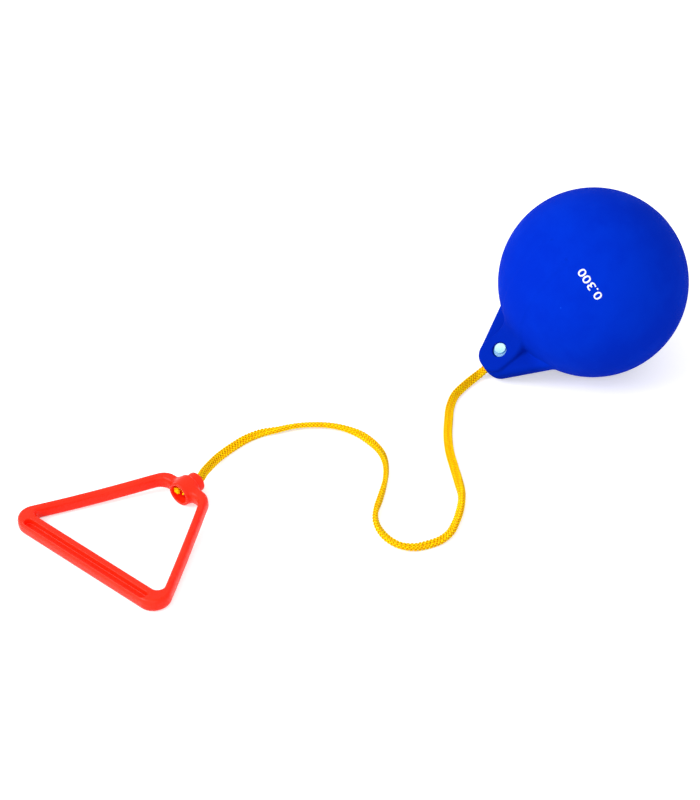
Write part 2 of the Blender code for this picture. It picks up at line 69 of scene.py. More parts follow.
# Ball and lug
BALL_RADIUS = 0.0600
TIP_STANDOFF = 0.0273
TIP_ROUND = 0.0101
TONGUE_WIDTH = 0.0227
TONGUE_THICKNESS = 0.0174
TONGUE_EDGE = 0.0026
WEB_TIP_WIDTH = 0.0277
WEB_TIP_ROUND = 0.0106
WEB_THICKNESS = 0.0117
WEB_EDGE = 0.0042
WEB_SPREAD = math.radians(30.1)
FACE_BLEND = 0.0140
LUG_BLEND = 0.0014
CUT_BLEND = 0.0009
SLOT_EDGE = 0.0002

# Pin across the lug
PIN_RADIUS = 0.0046
PIN_RECESS = 0.0005
PIN_EDGE = 0.0005
PIN_FLAP_OFFSET = 0.0013
PIN_FLAP_RADIUS = 0.0039
PIN_FLAP_DEPTH = 0.0009

# Filling plug
PLUG_HEAD_RADIUS = 0.0055
PLUG_HEAD_THICKNESS = 0.0022
PLUG_EDGE = 0.0004
PLUG_DIMPLE_RADIUS = 0.0018
PLUG_DIMPLE_DEPTH = 0.0006

# Running clearance of the pin, the plug and the cord
CLEARANCE = 0.0003

# Seam of the ball's two mould halves
SEAM_WIDTH = 0.0007
SEAM_HEIGHT = 0.00012
SEAM_ROOT = 4 * SEAM_HEIGHT
SEAM_STEPS = 240
SEAM_FADE_STEPS = 12
SEAM_SECTION = 5
SEAM_OPEN_ANGLE = math.radians(42.0)
SEAM_SHARP_ANGLE = math.radians(50.0)

# Cord
CORD_DIAMETER = 0.0027
STRAND_SPACING = 0.00275
CORD_FLOOR_GAP = 0.0003
PIN_LOOP_GAP = 0.0003
LOOP_WRAP = math.radians(15.0)
SWING = math.radians(8.0)
CORE_DIAMETER = 0.0023
CORE_RESOLUTION = 2
ROUTE_STEP = 0.0010
LOOP_STEPS = 30

# Braid: stitches in columns round the strand. Each column leans the other way than its neighbours, and
# every second one stands half a pitch further on
BRAID_COLUMNS = 8
BRAID_PITCH = 0.00235
BRAID_RADIUS = 0.00101
BRAID_SQUARENESS = 0.75
BRAID_LEAN = math.radians(28.0)
STITCH_LENGTH = 0.00222
STITCH_WIDTH = 0.00114
STITCH_HEIGHT = 0.00090
STITCH_SEGMENTS = 8
STITCH_RINGS = 4

# Handle
HANDLE_SPAN = 0.1212
HANDLE_DEPTH = 0.1100
BAR_HEIGHT = 0.0087
BAR_EDGE = 0.0021
BAR_CROWN = 0.0034
ARM_SAG = 0.0009
ARM_WIDTH = 0.0054
GRIP_WIDTH = 0.0116
OUTER_CORNER = 0.0105
INNER_CORNER = 0.0038
SHOULDER_CORNER = 0.0105
THROAT_CORNER = 0.0080
GROOVE_LENGTH = 0.1000
GROOVE_WIDTH = 0.0051
GROOVE_DEPTH = 0.0038
GROOVE_WALL = 0.0014
GROOVE_EDGE = 0.0006
MOUTH_DISTANCE = 0.0742
BOSS_RADIUS = 0.0078
BOSS_BODY_LENGTH = 0.0109
COLLAR_RADIUS = 0.0062
COLLAR_LENGTH = 0.0058
BOSS_EDGE = 0.0010
COLLAR_EDGE = 0.0014
NECK_SETBACK = 0.0022
NECK_WIDTH = 0.0070
NECK_BLEND = 0.0026
BORE_RADIUS = 0.0058
BORE_DEPTH = 0.0102
CORD_HOLE_RADIUS = 0.0030

# The cord pair's route over the floor, from the boss to the lug: x and y of the pair's middle, how far
# the pair is lifted, and how far it is rolled about its own line, in millimetres and degrees
ROUTE = [
    (-103.7, 51.9, 4.6, 30),
    (-96.0, 55.3, 2.6, 28),
    (-81.8, 59.5, 0.3, 24),
    (-69.7, 60.2, 0.0, 18),
    (-58.0, 59.5, 0.0, 13),
    (-47.8, 56.7, 0.0, 4),
    (-39.6, 51.4, 0.0, -18),
    (-30.6, 46.2, 0.0, -28),
    (-21.9, 38.7, 0.0, -28),
    (-15.1, 30.1, 0.0, -25),
    (-10.9, 20.8, 0.0, -19),
    (-9.0, 11.4, 0.0, -8),
    (-10.1, 0.6, 0.0, -8),
    (-14.5, -11.8, 0.0, -34),
    (-24.0, -23.9, 0.0, -72),
    (-36.1, -33.3, 0.0, -90),
    (-48.9, -40.7, 0.0, -82),
    (-59.7, -46.6, 0.0, -88),
    (-66.7, -53.0, 0.0, -62),
    (-71.1, -60.4, 0.0, -38),
    (-73.3, -68.4, 0.0, -25),
    (-72.6, -77.2, 0.0, -18),
    (-68.2, -83.7, 0.0, -7),
    (-60.9, -88.2, 0.0, 0),
    (-53.6, -91.0, 0.0, -6),
    (-45.4, -91.3, 0.0, -24),
    (-36.3, -88.3, 0.0, -40),
    (-25.3, -82.8, 0.0, -46),
    (-14.8, -75.6, 0.0, -60),
    (-5.7, -65.9, 0.0, -38),
    (4.0, -54.5, 0.0, -20),
    (14.2, -42.7, 0.0, -14),
    (25.8, -31.8, 0.0, -16),
    (38.5, -22.0, 0.0, -12),
    (50.0, -14.0, 0.0, 4),
    (61.2, -9.0, 0.0, 20),
    (71.5, -7.5, 0.0, 30),
    (80.5, -7.1, 0.4, 27),
]
MILLIMETRE = 0.001

# Meshing: an outline's arcs, the step that a field's slope is read over, and how the points settle
ARC_STEP = math.radians(4.0)
GRADIENT_STEP = 0.00001
SETTLE_ROUNDS = 4
NEWTON_STEPS = 3

# Grids that the moulded shapes are read on: how far they reach past the piece, their fine and coarse
# spacing, and the stretches along the piece's own axes where they are fine
WIDE_MARGIN = 0.002
CLOSE_MARGIN = 0.001
GRID_GROWTH = 0.25
BALL_FINE = 0.00055
BALL_COARSE = 0.0024
BALL_FINE_X = [(-0.024, 0.024)]
BALL_FINE_Y = [(-0.011, 0.011)]
BALL_FINE_Z = [(0.046, 0.090), (-0.061, -0.056)]
PIN_FINE = 0.00018
PIN_COARSE = 0.0008
PIN_FINE_Y = [(-0.009, -0.0068), (0.0068, 0.009)]
PLUG_FINE = 0.0002
HANDLE_FINE = 0.0004
HANDLE_COARSE = 0.0009
HANDLE_FINE_X = [(-0.006, 0.006), (0.070, 0.096)]
HANDLE_FINE_Y = [(-0.013, 0.013), (-0.062, -0.045), (0.045, 0.062)]

HALF_PAIR = STRAND_SPACING / 2
LOOP_RADIUS = PIN_RADIUS + PIN_LOOP_GAP + CORD_DIAMETER / 2
ARM_LENGTH = math.hypot(HANDLE_DEPTH, HANDLE_SPAN / 2)
ARM_SINE = HANDLE_SPAN / 2 / ARM_LENGTH
ARM_COSINE = HANDLE_DEPTH / ARM_LENGTH
SHOULDER = MOUTH_DISTANCE + BORE_DEPTH
STEP = MOUTH_DISTANCE + BOSS_BODY_LENGTH
BOSS_END = STEP + COLLAR_LENGTH
TIP_REACH = BALL_RADIUS + TIP_STANDOFF


def joint(name):
    """A joint of the model, by name."""
    return next(item for item in frame["joints"] if item["name"] == name)


def ball_place():
    """The ball's frame: X across the lug, Y along the pin, Z from the ball's centre along the lug."""
    low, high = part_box("ball_shell")
    centre = Vector((high.x - BALL_RADIUS, low.y + BALL_RADIUS, BALL_RADIUS))
    pin = Vector(joint("lug_pivot")["pos_m"])
    along = (pin - centre).normalized()
    through = Vector(joint("lug_pivot")["axis"])
    through = (through - along * through.dot(along)).normalized()
    place = Matrix((through.cross(along), through, along)).transposed().to_4x4()
    place.translation = centre
    return place


def handle_place():
    """The handle's frame: X along the boss from the grip's middle, Z out of the grooved face."""
    along = Vector(joint("handle_swivel")["axis"]).normalized()
    level = Vector((0.0, 0.0, 1.0)).cross(along).normalized()
    place = Matrix((along, level, along.cross(level))).transposed().to_4x4()
    place.translation = Vector(joint("handle_swivel")["pos_m"]) - along * SHOULDER
    return place


BALL_PLACE = ball_place()
HANDLE_PLACE = handle_place()
PIN_REACH = (Vector(joint("lug_pivot")["pos_m"]) - BALL_PLACE.translation).length


def add_object(name, data):
    """A new object with this data, linked to the scene."""
    made = bpy.data.objects.new(name, data)
    bpy.context.scene.collection.objects.link(made)
    return made


def set_camera():
    data = bpy.data.cameras.new("camera")
    data.lens = CAMERA_LENS
    data.sensor_width = CAMERA_SENSOR
    data.sensor_fit = "AUTO"
    data.clip_start = CAMERA_NEAR
    data.clip_end = CAMERA_FAR
    camera = add_object("camera", data)
    camera.location = CAMERA_PLACE
    camera.rotation_euler = (math.pi / 2 - CAMERA_ELEVATION, 0.0, CAMERA_AZIMUTH)
    bpy.context.scene.camera = camera


set_camera()


# Cord line

def strand_offset(reach):
    """Half the spacing of the two strands in the lug, at this distance from the ball's centre."""
    wrap_reach = PIN_REACH + LOOP_RADIUS * math.sin(LOOP_WRAP)
    wrap_offset = LOOP_RADIUS * math.cos(LOOP_WRAP)
    share = (reach - wrap_reach) / (TIP_REACH - wrap_reach)
    return wrap_offset + (HALF_PAIR - wrap_offset) * share


def route_rows():
    """The pair's middle and its half spacing as a vector, at each route point over the floor."""
    middles = np.array([row[:2] for row in ROUTE]) * MILLIMETRE
    runs = np.gradient(middles, axis=0)
    runs /= np.linalg.norm(runs, axis=1, keepdims=True)
    rows = []
    for (x, y), (run_x, run_y), row in zip(middles, runs, ROUTE):
        roll = math.radians(row[3])
        flat = HALF_PAIR * math.cos(roll)
        rise = HALF_PAIR * math.sin(roll)
        height = CORD_FLOOR_GAP + CORD_DIAMETER / 2 + abs(rise) + row[2] * MILLIMETRE
        rows.append((x, y, height, -run_y * flat, run_x * flat, rise))
    return rows


def boss_rows():
    """The same, inside the boss: from the knot's face straight out through the collar."""
    roll = math.radians(ROUTE[0][3])
    spread = HANDLE_PLACE.to_3x3() @ Vector((0.0, math.cos(roll), math.sin(roll))) * HALF_PAIR
    reaches = (SHOULDER, (SHOULDER + BOSS_END) / 2, BOSS_END)
    return [(*(HANDLE_PLACE @ Vector((reach, 0.0, 0.0))), *spread) for reach in reaches]


def lug_rows():
    """The same, from just outside the lug's tip to where the strands meet the pin."""
    wrap_reach = PIN_REACH + LOOP_RADIUS * math.sin(LOOP_WRAP)
    outside = TIP_REACH + 2 * CORD_DIAMETER
    rows = []
    for reach in (outside, TIP_REACH, (TIP_REACH + wrap_reach) / 2, wrap_reach):
        half = max(HALF_PAIR, strand_offset(reach))
        spread = BALL_PLACE.to_3x3() @ Vector((-half, 0.0, 0.0))
        rows.append((*(BALL_PLACE @ Vector((0.0, 0.0, reach))), *spread))
    return rows


def pin_loop():
    """The strand's way round the pin, from the one side of the lug's slot to the other."""
    start = math.pi - LOOP_WRAP
    sweep = math.pi + 2 * LOOP_WRAP
    points = []
    for step in range(1, LOOP_STEPS):
        angle = start + sweep * step / LOOP_STEPS
        across = LOOP_RADIUS * math.cos(angle)
        along = PIN_REACH + LOOP_RADIUS * math.sin(angle)
        points.append(BALL_PLACE @ Vector((across, 0.0, along)))
    return points


def smooth_rows(rows, spacing):
    """Rows read at an even spacing from a smooth curve through the given ones."""
    rows = np.array(rows)
    knots = np.linalg.norm(np.diff(rows[:, :3], axis=0), axis=1)
    knots = np.concatenate([[0.0], np.cumsum(knots)])
    slopes = np.gradient(rows, knots, axis=0)
    stations = np.linspace(0.0, knots[-1], math.ceil(knots[-1] / spacing) + 1)
    index = np.clip(np.searchsorted(knots, stations, side="right") - 1, 0, len(rows) - 2)
    span = (knots[index + 1] - knots[index])[:, None]
    share = (stations - knots[index])[:, None] / span
    rest = 1.0 - share
    return (
        rows[index] * rest * rest * (1.0 + 2.0 * share)
        + rows[index + 1] * share * share * (3.0 - 2.0 * share)
        + slopes[index] * span * share * rest * rest
        - slopes[index + 1] * span * share * share * rest
    )


def cord_line():
    """The cord's centre line from the knot to the pin, round it and back, and the ways to its outer side."""
    rows = smooth_rows(boss_rows() + route_rows() + lug_rows(), ROUTE_STEP)
    out_strand = [(Vector(row[:3] + row[3:]), Vector(row[3:])) for row in rows]
    back_strand = [(Vector(row[:3] - row[3:]), Vector(-row[3:])) for row in rows[::-1]]
    pin = BALL_PLACE @ Vector((0.0, 0.0, PIN_REACH))
    loop = [(point, point - pin) for point in pin_loop()]
    return zip(*(out_strand + loop + back_strand))


CORD_LINE, CORD_SIDES = map(list, cord_line())


# Shader nodes

def shader_tree(name, inputs, outputs):
    """An empty shader node group with these sockets, as (name, type, default value)."""
    tree = bpy.data.node_groups.new(name, "ShaderNodeTree")
    for label, kind, value in inputs:
        socket = tree.interface.new_socket(name=label, in_out="INPUT", socket_type=kind)
        if value is not None:
            socket.default_value = value
    for label, kind in outputs:
        tree.interface.new_socket(name=label, in_out="OUTPUT", socket_type=kind)
    return tree, tree.nodes.new("NodeGroupInput"), tree.nodes.new("NodeGroupOutput")


def add_node(tree, kind, values=None, **settings):
    """A node with its settings and the values or links of its inputs."""
    node = tree.nodes.new(kind)
    for key, value in settings.items():
        setattr(node, key, value)
    for key, value in (values or {}).items():
        if isinstance(value, bpy.types.NodeSocket):
            tree.links.new(value, node.inputs[key])
        else:
            node.inputs[key].default_value = value
    return node


def math_node(tree, operation, *values):
    """The result of a Math node."""
    return add_node(tree, "ShaderNodeMath", dict(enumerate(values)), operation=operation).outputs[0]


def mix_colour(tree, factor, first, second):
    """The result of a Mix node on two colours, whose colour sockets are inputs 6 and 7 and output 2."""
    values = {0: factor, 6: first, 7: second}
    return add_node(tree, "ShaderNodeMix", values, data_type="RGBA").outputs[2]


def spread_range(tree, value, low, high):
    """A value's rise from 0 at low to 1 at high."""
    values = {"Value": value, "From Min": low, "From Max": high}
    node = add_node(tree, "ShaderNodeMapRange", values, interpolation_type="SMOOTHSTEP")
    return node.outputs["Result"]


def moulded_skin_group():
    """The skin of a moulding: a fine grain on a slow waviness, and a patchy mask of handling wear."""
    tree, given, out = shader_tree(
        "moulded skin",
        [
            ("Grain Scale", "NodeSocketFloat", 2500.0),
            ("Grain", "NodeSocketFloat", 0.5),
            ("Waviness", "NodeSocketFloat", 0.5),
        ],
        [("Height", "NodeSocketFloat"), ("Patches", "NodeSocketFloat")],
    )
    place = add_node(tree, "ShaderNodeTexCoord").outputs["Object"]
    grain = add_node(
        tree,
        "ShaderNodeTexNoise",
        {"Vector": place, "Scale": given.outputs["Grain Scale"], "Detail": 3.0, "Roughness": 0.6},
    )
    waves = add_node(
        tree, "ShaderNodeTexNoise", {"Vector": place, "Scale": 55.0, "Detail": 2.0}
    )
    patches = add_node(
        tree, "ShaderNodeTexNoise", {"Vector": place, "Scale": 28.0, "Detail": 5.0, "Roughness": 0.6}
    )
    fine = math_node(tree, "MULTIPLY", grain.outputs["Fac"], given.outputs["Grain"])
    slow = math_node(tree, "MULTIPLY", waves.outputs["Fac"], given.outputs["Waviness"])
    tree.links.new(math_node(tree, "ADD", fine, slow), out.inputs["Height"])
    tree.links.new(spread_range(tree, patches.outputs["Fac"], 0.35, 0.70), out.inputs["Patches"])
    return tree


def specks_group():
    """Scattered small specks and short scuffs, as a mask."""
    tree, given, out = shader_tree(
        "specks",
        [
            ("Scale", "NodeSocketFloat", 90.0),
            ("Share", "NodeSocketFloat", 0.2),
            ("Size", "NodeSocketFloat", 0.06),
        ],
        [("Mask", "NodeSocketFloat")],
    )
    place = add_node(tree, "ShaderNodeTexCoord").outputs["Object"]
    shake = add_node(tree, "ShaderNodeTexNoise", {"Vector": place, "Scale": 700.0, "Detail": 2.0})
    cells = add_node(
        tree, "ShaderNodeTexVoronoi", {"Vector": place, "Scale": given.outputs["Scale"]}
    )
    number = add_node(tree, "ShaderNodeSeparateColor", {"Color": cells.outputs["Color"]})
    chosen = math_node(tree, "LESS_THAN", number.outputs["Red"], given.outputs["Share"])
    uneven = math_node(tree, "MULTIPLY", shake.outputs["Fac"], 2.0)
    reach = math_node(tree, "MULTIPLY", given.outputs["Size"], uneven)
    near = math_node(tree, "SUBTRACT", 1.0, math_node(tree, "DIVIDE", cells.outputs["Distance"], reach))
    near = spread_range(tree, near, 0.0, 0.4)
    tree.links.new(math_node(tree, "MULTIPLY", near, chosen), out.inputs["Mask"])
    return tree


def yarn_group():
    """Filaments along a yarn, from its own coordinates, where X runs along it and Y across it, and a mask for
    painted shade at its edges and ends.
    """
    tree, given, out = shader_tree(
        "yarn filaments",
        [("Place", "NodeSocketVector", None), ("Filaments", "NodeSocketFloat", 9.0)],
        [("Height", "NodeSocketFloat"), ("Edge Shade", "NodeSocketFloat")],
    )
    parts = add_node(tree, "ShaderNodeSeparateXYZ", {"Vector": given.outputs["Place"]})
    turns = math_node(tree, "MULTIPLY", parts.outputs["Y"], given.outputs["Filaments"])
    drift = math_node(tree, "MULTIPLY", parts.outputs["X"], 1.3)
    wave = math_node(tree, "SINE", math_node(tree, "MULTIPLY", math_node(tree, "ADD", turns, drift), math.pi))
    tree.links.new(math_node(tree, "MULTIPLY_ADD", wave, 0.5, 0.5), out.inputs["Height"])
    # Mask for painted shade: high at the yarn's edges across it and at its ends
    across = math_node(tree, "ABSOLUTE", parts.outputs["Y"])
    ends = math_node(tree, "ABSOLUTE", parts.outputs["X"])
    across = spread_range(tree, across, 0.70, 1.0)
    ends = spread_range(tree, ends, 0.55, 0.92)
    tree.links.new(math_node(tree, "MAXIMUM", across, ends), out.inputs["Edge Shade"])
    return tree


MOULDED_SKIN = moulded_skin_group()
SPECKS = specks_group()
YARN = yarn_group()


def place_group(tree, group, **values):
    """A node that uses a group, its inputs named with underscores for spaces."""
    values = {key.replace("_", " "): value for key, value in values.items()}
    return add_node(tree, "ShaderNodeGroup", values, node_tree=group)


def new_material(name, **values):
    """A material with a Principled shader, whose plain inputs are named with underscores for spaces."""
    made = bpy.data.materials.new(name)
    made.use_nodes = True
    tree = made.node_tree
    shader = tree.nodes["Principled BSDF"]
    for key, value in values.items():
        shader.inputs[key.replace("_", " ")].default_value = value
    return made, tree, shader


def bump(tree, shader, height, distance):
    """A Bump node from this height to the shader's normal."""
    node = add_node(tree, "ShaderNodeBump", {"Height": height, "Distance": distance, "Strength": 1.0})
    tree.links.new(node.outputs["Normal"], shader.inputs["Normal"])


def set_surface(tree, shader, colour, rough, height, distance):
    """Link a colour, a roughness and a bump to the shader."""
    tree.links.new(colour, shader.inputs["Base Color"])
    tree.links.new(rough, shader.inputs["Roughness"])
    bump(tree, shader, height, distance)


BLUE = (0.0003, 0.0260, 0.500, 1.0)
BLUE_DEEP = (0.0002, 0.0205, 0.455, 1.0)
# Painted shade: the deeper blue laid over the lug
BLUE_LUG_SHADE = (0.0002, 0.0165, 0.350, 1.0)
BLUE_SCUFF = (0.010, 0.110, 0.880, 1.0)
PIN_PALE = (0.140, 0.400, 0.580, 1.0)
# Painted highlight: the whiter side of the pin's face
PIN_HIGHLIGHT_WHITE = (0.340, 0.630, 0.820, 1.0)
PIN_TEAL = (0.010, 0.200, 0.480, 1.0)
YELLOW = (1.000, 0.580, 0.000, 1.0)
YELLOW_LIGHT = (1.000, 0.770, 0.000, 1.0)
# Deep yellow for painted shade at the stitches' edges and in the braid's gaps
YELLOW_DEEP_SHADE = (0.700, 0.200, 0.000, 1.0)
# Painted shade: the core's dark brown, seen in the braid's gaps
BROWN_GAP_SHADE = (0.540, 0.160, 0.000, 1.0)
RED = (1.000, 0.024, 0.006, 1.0)
RED_DEEP = (0.970, 0.018, 0.003, 1.0)
RED_SCUFF = (1.000, 0.090, 0.060, 1.0)
PRINT_WHITE = (0.86, 0.88, 0.90, 1.0)
WHITE = (1.0, 1.0, 1.0, 1.0)
FLOOR_GREY = (0.80, 0.80, 0.80, 1.0)

# Where tones change, from none to all: the painted shade along the lug from the ball's centre, the teal
# down from the pin's raised face, and the painted highlight across the pin's face
LUG_SHADE_RANGE = (0.050, 0.064)
PIN_LEDGE_TONE = (0.00030, 0.00070)
PIN_HIGHLIGHT_RANGE = (-0.004, 0.003)


def ball_material():
    """Matt soft PVC: fine grain, uneven tone, painted shade as a deeper blue over the lug, a few scuffs."""
    made, tree, shader = new_material("ball_pvc", Specular_IOR_Level=0.006)
    skin = place_group(tree, MOULDED_SKIN, Grain_Scale=2600.0, Grain=0.6, Waviness=1.0)
    specks = place_group(tree, SPECKS, Scale=75.0, Share=0.09, Size=0.050)
    tone = mix_colour(tree, skin.outputs["Patches"], BLUE_DEEP, BLUE)
    place = add_node(tree, "ShaderNodeAttribute", attribute_name="ball_place").outputs["Vector"]
    reach = add_node(tree, "ShaderNodeSeparateXYZ", {"Vector": place}).outputs["Z"]
    # Painted shade: the lug turns a deeper blue from 50 mm out from the ball's centre
    tone = mix_colour(tree, spread_range(tree, reach, *LUG_SHADE_RANGE), tone, BLUE_LUG_SHADE)
    faint = math_node(tree, "MULTIPLY", specks.outputs["Mask"], 0.55)
    colour = mix_colour(tree, faint, tone, BLUE_SCUFF)
    rough = math_node(tree, "MULTIPLY_ADD", skin.outputs["Patches"], -0.06, 0.68)
    set_surface(tree, shader, colour, rough, skin.outputs["Height"], 0.00008)
    return made


def plug_material():
    """The ball's PVC a shade darker, as the plug is trimmed by hand."""
    made, tree, shader = new_material("plug_pvc", Specular_IOR_Level=0.15)
    skin = place_group(tree, MOULDED_SKIN, Grain_Scale=1900.0, Grain=0.9, Waviness=1.0)
    colour = mix_colour(tree, skin.outputs["Patches"], BLUE_DEEP, BLUE)
    rough = math_node(tree, "MULTIPLY_ADD", skin.outputs["Patches"], 0.08, 0.50)
    set_surface(tree, shader, colour, rough, skin.outputs["Height"], 0.00012)
    return made


def pin_material(outer):
    """Pale milky plastic with a painted highlight, whiter towards one side of its face; the ledge below its
    raised face lets the blue of the lug through.
    """
    made, tree, shader = new_material(
        "pin_plastic", Subsurface_Weight=0.15, Subsurface_Scale=0.002, Coat_Weight=0.3
    )
    skin = place_group(tree, MOULDED_SKIN, Grain_Scale=1500.0, Grain=0.4, Waviness=1.0)
    place = add_node(tree, "ShaderNodeAttribute", attribute_name="pin_place").outputs["Vector"]
    parts = add_node(tree, "ShaderNodeSeparateXYZ", {"Vector": place})
    depth = math_node(tree, "SUBTRACT", outer, math_node(tree, "ABSOLUTE", parts.outputs["Y"]))
    sunk = spread_range(tree, depth, *PIN_LEDGE_TONE)
    # Painted highlight: the pin's face turns whiter where X plus Z is low
    lean = math_node(tree, "ADD", parts.outputs["X"], parts.outputs["Z"])
    painted_highlight_fade = spread_range(tree, lean, *PIN_HIGHLIGHT_RANGE)
    colour = mix_colour(tree, painted_highlight_fade, PIN_HIGHLIGHT_WHITE, PIN_PALE)
    colour = mix_colour(tree, sunk, colour, PIN_TEAL)
    rough = math_node(tree, "MULTIPLY_ADD", skin.outputs["Patches"], 0.15, 0.22)
    set_surface(tree, shader, colour, rough, skin.outputs["Height"], 0.00015)
    return made


def yarn_material():
    """Polyester yarn, hardly glossy: filaments along each stitch, and painted shade that darkens the stitch's
    edges and ends.
    """
    made, tree, shader = new_material("cord_yarn", Specular_IOR_Level=0.05)
    place = add_node(tree, "ShaderNodeAttribute", attribute_name="yarn_place").outputs["Vector"]
    shade = add_node(tree, "ShaderNodeAttribute", attribute_name="yarn_shade").outputs["Fac"]
    yarn = place_group(tree, YARN, Place=place, Filaments=7.0)
    colour = mix_colour(tree, shade, YELLOW, YELLOW_LIGHT)
    # Painted shade: each stitch darker at its edges and ends, where it meets its neighbours
    deep = math_node(tree, "MULTIPLY", yarn.outputs["Edge Shade"], 0.9)
    colour = mix_colour(tree, deep, colour, YELLOW_DEEP_SHADE)
    rough = math_node(tree, "MULTIPLY_ADD", yarn.outputs["Height"], -0.12, 0.50)
    set_surface(tree, shader, colour, rough, yarn.outputs["Height"], 0.00004)
    return made


def core_material():
    """The cord's core yarns, seen only in the gaps of the braid, coloured dark brown as painted shade in
    those gaps.
    """
    made, tree, shader = new_material("cord_core", Roughness=0.8, Specular_IOR_Level=0.1)
    place = add_node(tree, "ShaderNodeTexCoord").outputs["Object"]
    lines = add_node(tree, "ShaderNodeTexNoise", {"Vector": place, "Scale": 900.0, "Detail": 2.0})
    # Painted shade: the core's brown and deep yellow darken the gaps between the stitches
    colour = mix_colour(tree, lines.outputs["Fac"], BROWN_GAP_SHADE, YELLOW_DEEP_SHADE)
    tree.links.new(colour, shader.inputs["Base Color"])
    bump(tree, shader, lines.outputs["Fac"], 0.0001)
    return made


def handle_material():
    """Satin moulded plastic with a fine waviness and rubbed, lighter patches."""
    made, tree, shader = new_material("handle_plastic", Specular_IOR_Level=0.16)
    skin = place_group(tree, MOULDED_SKIN, Grain_Scale=1800.0, Grain=0.25, Waviness=1.0)
    specks = place_group(tree, SPECKS, Scale=160.0, Share=0.06, Size=0.06)
    colour = mix_colour(tree, skin.outputs["Patches"], RED_DEEP, RED)
    faint = math_node(tree, "MULTIPLY", specks.outputs["Mask"], 0.5)
    colour = mix_colour(tree, faint, colour, RED_SCUFF)
    rough = math_node(tree, "MULTIPLY_ADD", skin.outputs["Patches"], 0.10, 0.30)
    set_surface(tree, shader, colour, rough, skin.outputs["Height"], 0.0001)
    return made


def print_material():
    """White ink, a little worn so that the blue shows through."""
    made, tree, shader = new_material("print_white")
    place = add_node(tree, "ShaderNodeTexCoord").outputs["Object"]
    worn = add_node(
        tree, "ShaderNodeTexNoise", {"Vector": place, "Scale": 1400.0, "Detail": 3.0, "Roughness": 0.7}
    )
    missing = spread_range(tree, worn.outputs["Fac"], 0.62, 0.72)
    colour = mix_colour(tree, missing, PRINT_WHITE, BLUE)
    rough = math_node(tree, "MULTIPLY_ADD", worn.outputs["Fac"], 0.2, 0.4)
    set_surface(tree, shader, colour, rough, worn.outputs["Fac"], 0.00003)
    return made


# Moulded shapes

def soft_least(first, second, blend):
    """The lesser of two distances, with a rounded change from one to the other."""
    overlap = np.maximum(blend - np.abs(first - second), 0.0) / blend
    return np.minimum(first, second) - overlap * overlap * blend / 4


def soft_cut(solid, hole, blend):
    """A solid's distance with a hole cut out of it, its edges rounded."""
    return -soft_least(-solid, hole, blend)


def rounded_plate(flat, height, half, edge):
    """Distance from a plate with rounded edges: its outline's distance, and the height from its middle."""
    across = flat + edge
    through = np.abs(height) - (half - edge)
    outside = np.hypot(np.maximum(across, 0.0), np.maximum(through, 0.0))
    return np.minimum(np.maximum(across, through), 0.0) + outside - edge


def round_bar(radial, along, radius, low, high, edge):
    """Distance from a cylinder with rounded rims, by the distances from and along its axis."""
    return rounded_plate(radial - radius, along - (low + high) / 2, (high - low) / 2, edge)


def web_flat(x, z):
    """Distance from the webs' outline: a round tip with a straight flank on each side."""
    across = np.maximum(np.abs(x) - (WEB_TIP_WIDTH / 2 - WEB_TIP_ROUND), 0.0)
    above = z - (TIP_REACH - TIP_ROUND)
    flank = across * math.cos(WEB_SPREAD) + above * math.sin(WEB_SPREAD)
    tip = np.hypot(across, above)
    return np.where(above > across * math.tan(WEB_SPREAD), tip, flank) - WEB_TIP_ROUND


def tongue_flat(x, z):
    """Distance from the tongue's outline."""
    across = np.maximum(np.abs(x) - (TONGUE_WIDTH / 2 - TIP_ROUND), 0.0)
    above = z - (TIP_REACH - TIP_ROUND)
    side = np.abs(x) - TONGUE_WIDTH / 2
    return np.where(above > 0.0, np.hypot(across, above) - TIP_ROUND, side)


def slot_flat(x, z):
    """Distance from the outline of the cord's pocket, round behind the pin and open at the tip."""
    radius = LOOP_RADIUS + CORD_DIAMETER / 2 + CLEARANCE
    swung = (TIP_REACH - PIN_REACH) * math.sin(SWING)
    half_mouth = strand_offset(TIP_REACH) + CORD_DIAMETER / 2 + swung + CLEARANCE
    narrowing = math.atan((radius - half_mouth) / (TIP_REACH - PIN_REACH))
    above = z - PIN_REACH
    side = np.abs(x) * math.cos(narrowing) + above * math.sin(narrowing)
    return np.where(above > 0.0, side, np.hypot(x, above)) - radius


def ball_field(x, y, z):
    """Distance from the ball with its lug, pin hole, cord slot and plug seat, in the ball's frame."""
    body = np.sqrt(x * x + y * y + z * z) - BALL_RADIUS
    web = rounded_plate(web_flat(x, z), y, WEB_THICKNESS / 2, WEB_EDGE)
    faces = soft_least(body, np.abs(y) - TONGUE_THICKNESS / 2, FACE_BLEND)
    tongue = -soft_least(-faces, -tongue_flat(x, z), TONGUE_EDGE)
    lug = soft_least(web, tongue, LUG_BLEND)
    solid = soft_least(body, np.maximum(lug, -z), LUG_BLEND)
    slot = rounded_plate(slot_flat(x, z), y, CORD_DIAMETER / 2 + CLEARANCE, SLOT_EDGE)
    solid = soft_cut(solid, slot, CUT_BLEND)
    hole = np.hypot(x, z - PIN_REACH) - (PIN_RADIUS + CLEARANCE)
    solid = soft_cut(solid, hole, CUT_BLEND)
    seat_floor = PLUG_HEAD_THICKNESS + CLEARANCE - BALL_RADIUS
    seat = np.maximum(np.hypot(x, y) - (PLUG_HEAD_RADIUS + CLEARANCE), z - seat_floor)
    return soft_cut(solid, seat, CUT_BLEND)


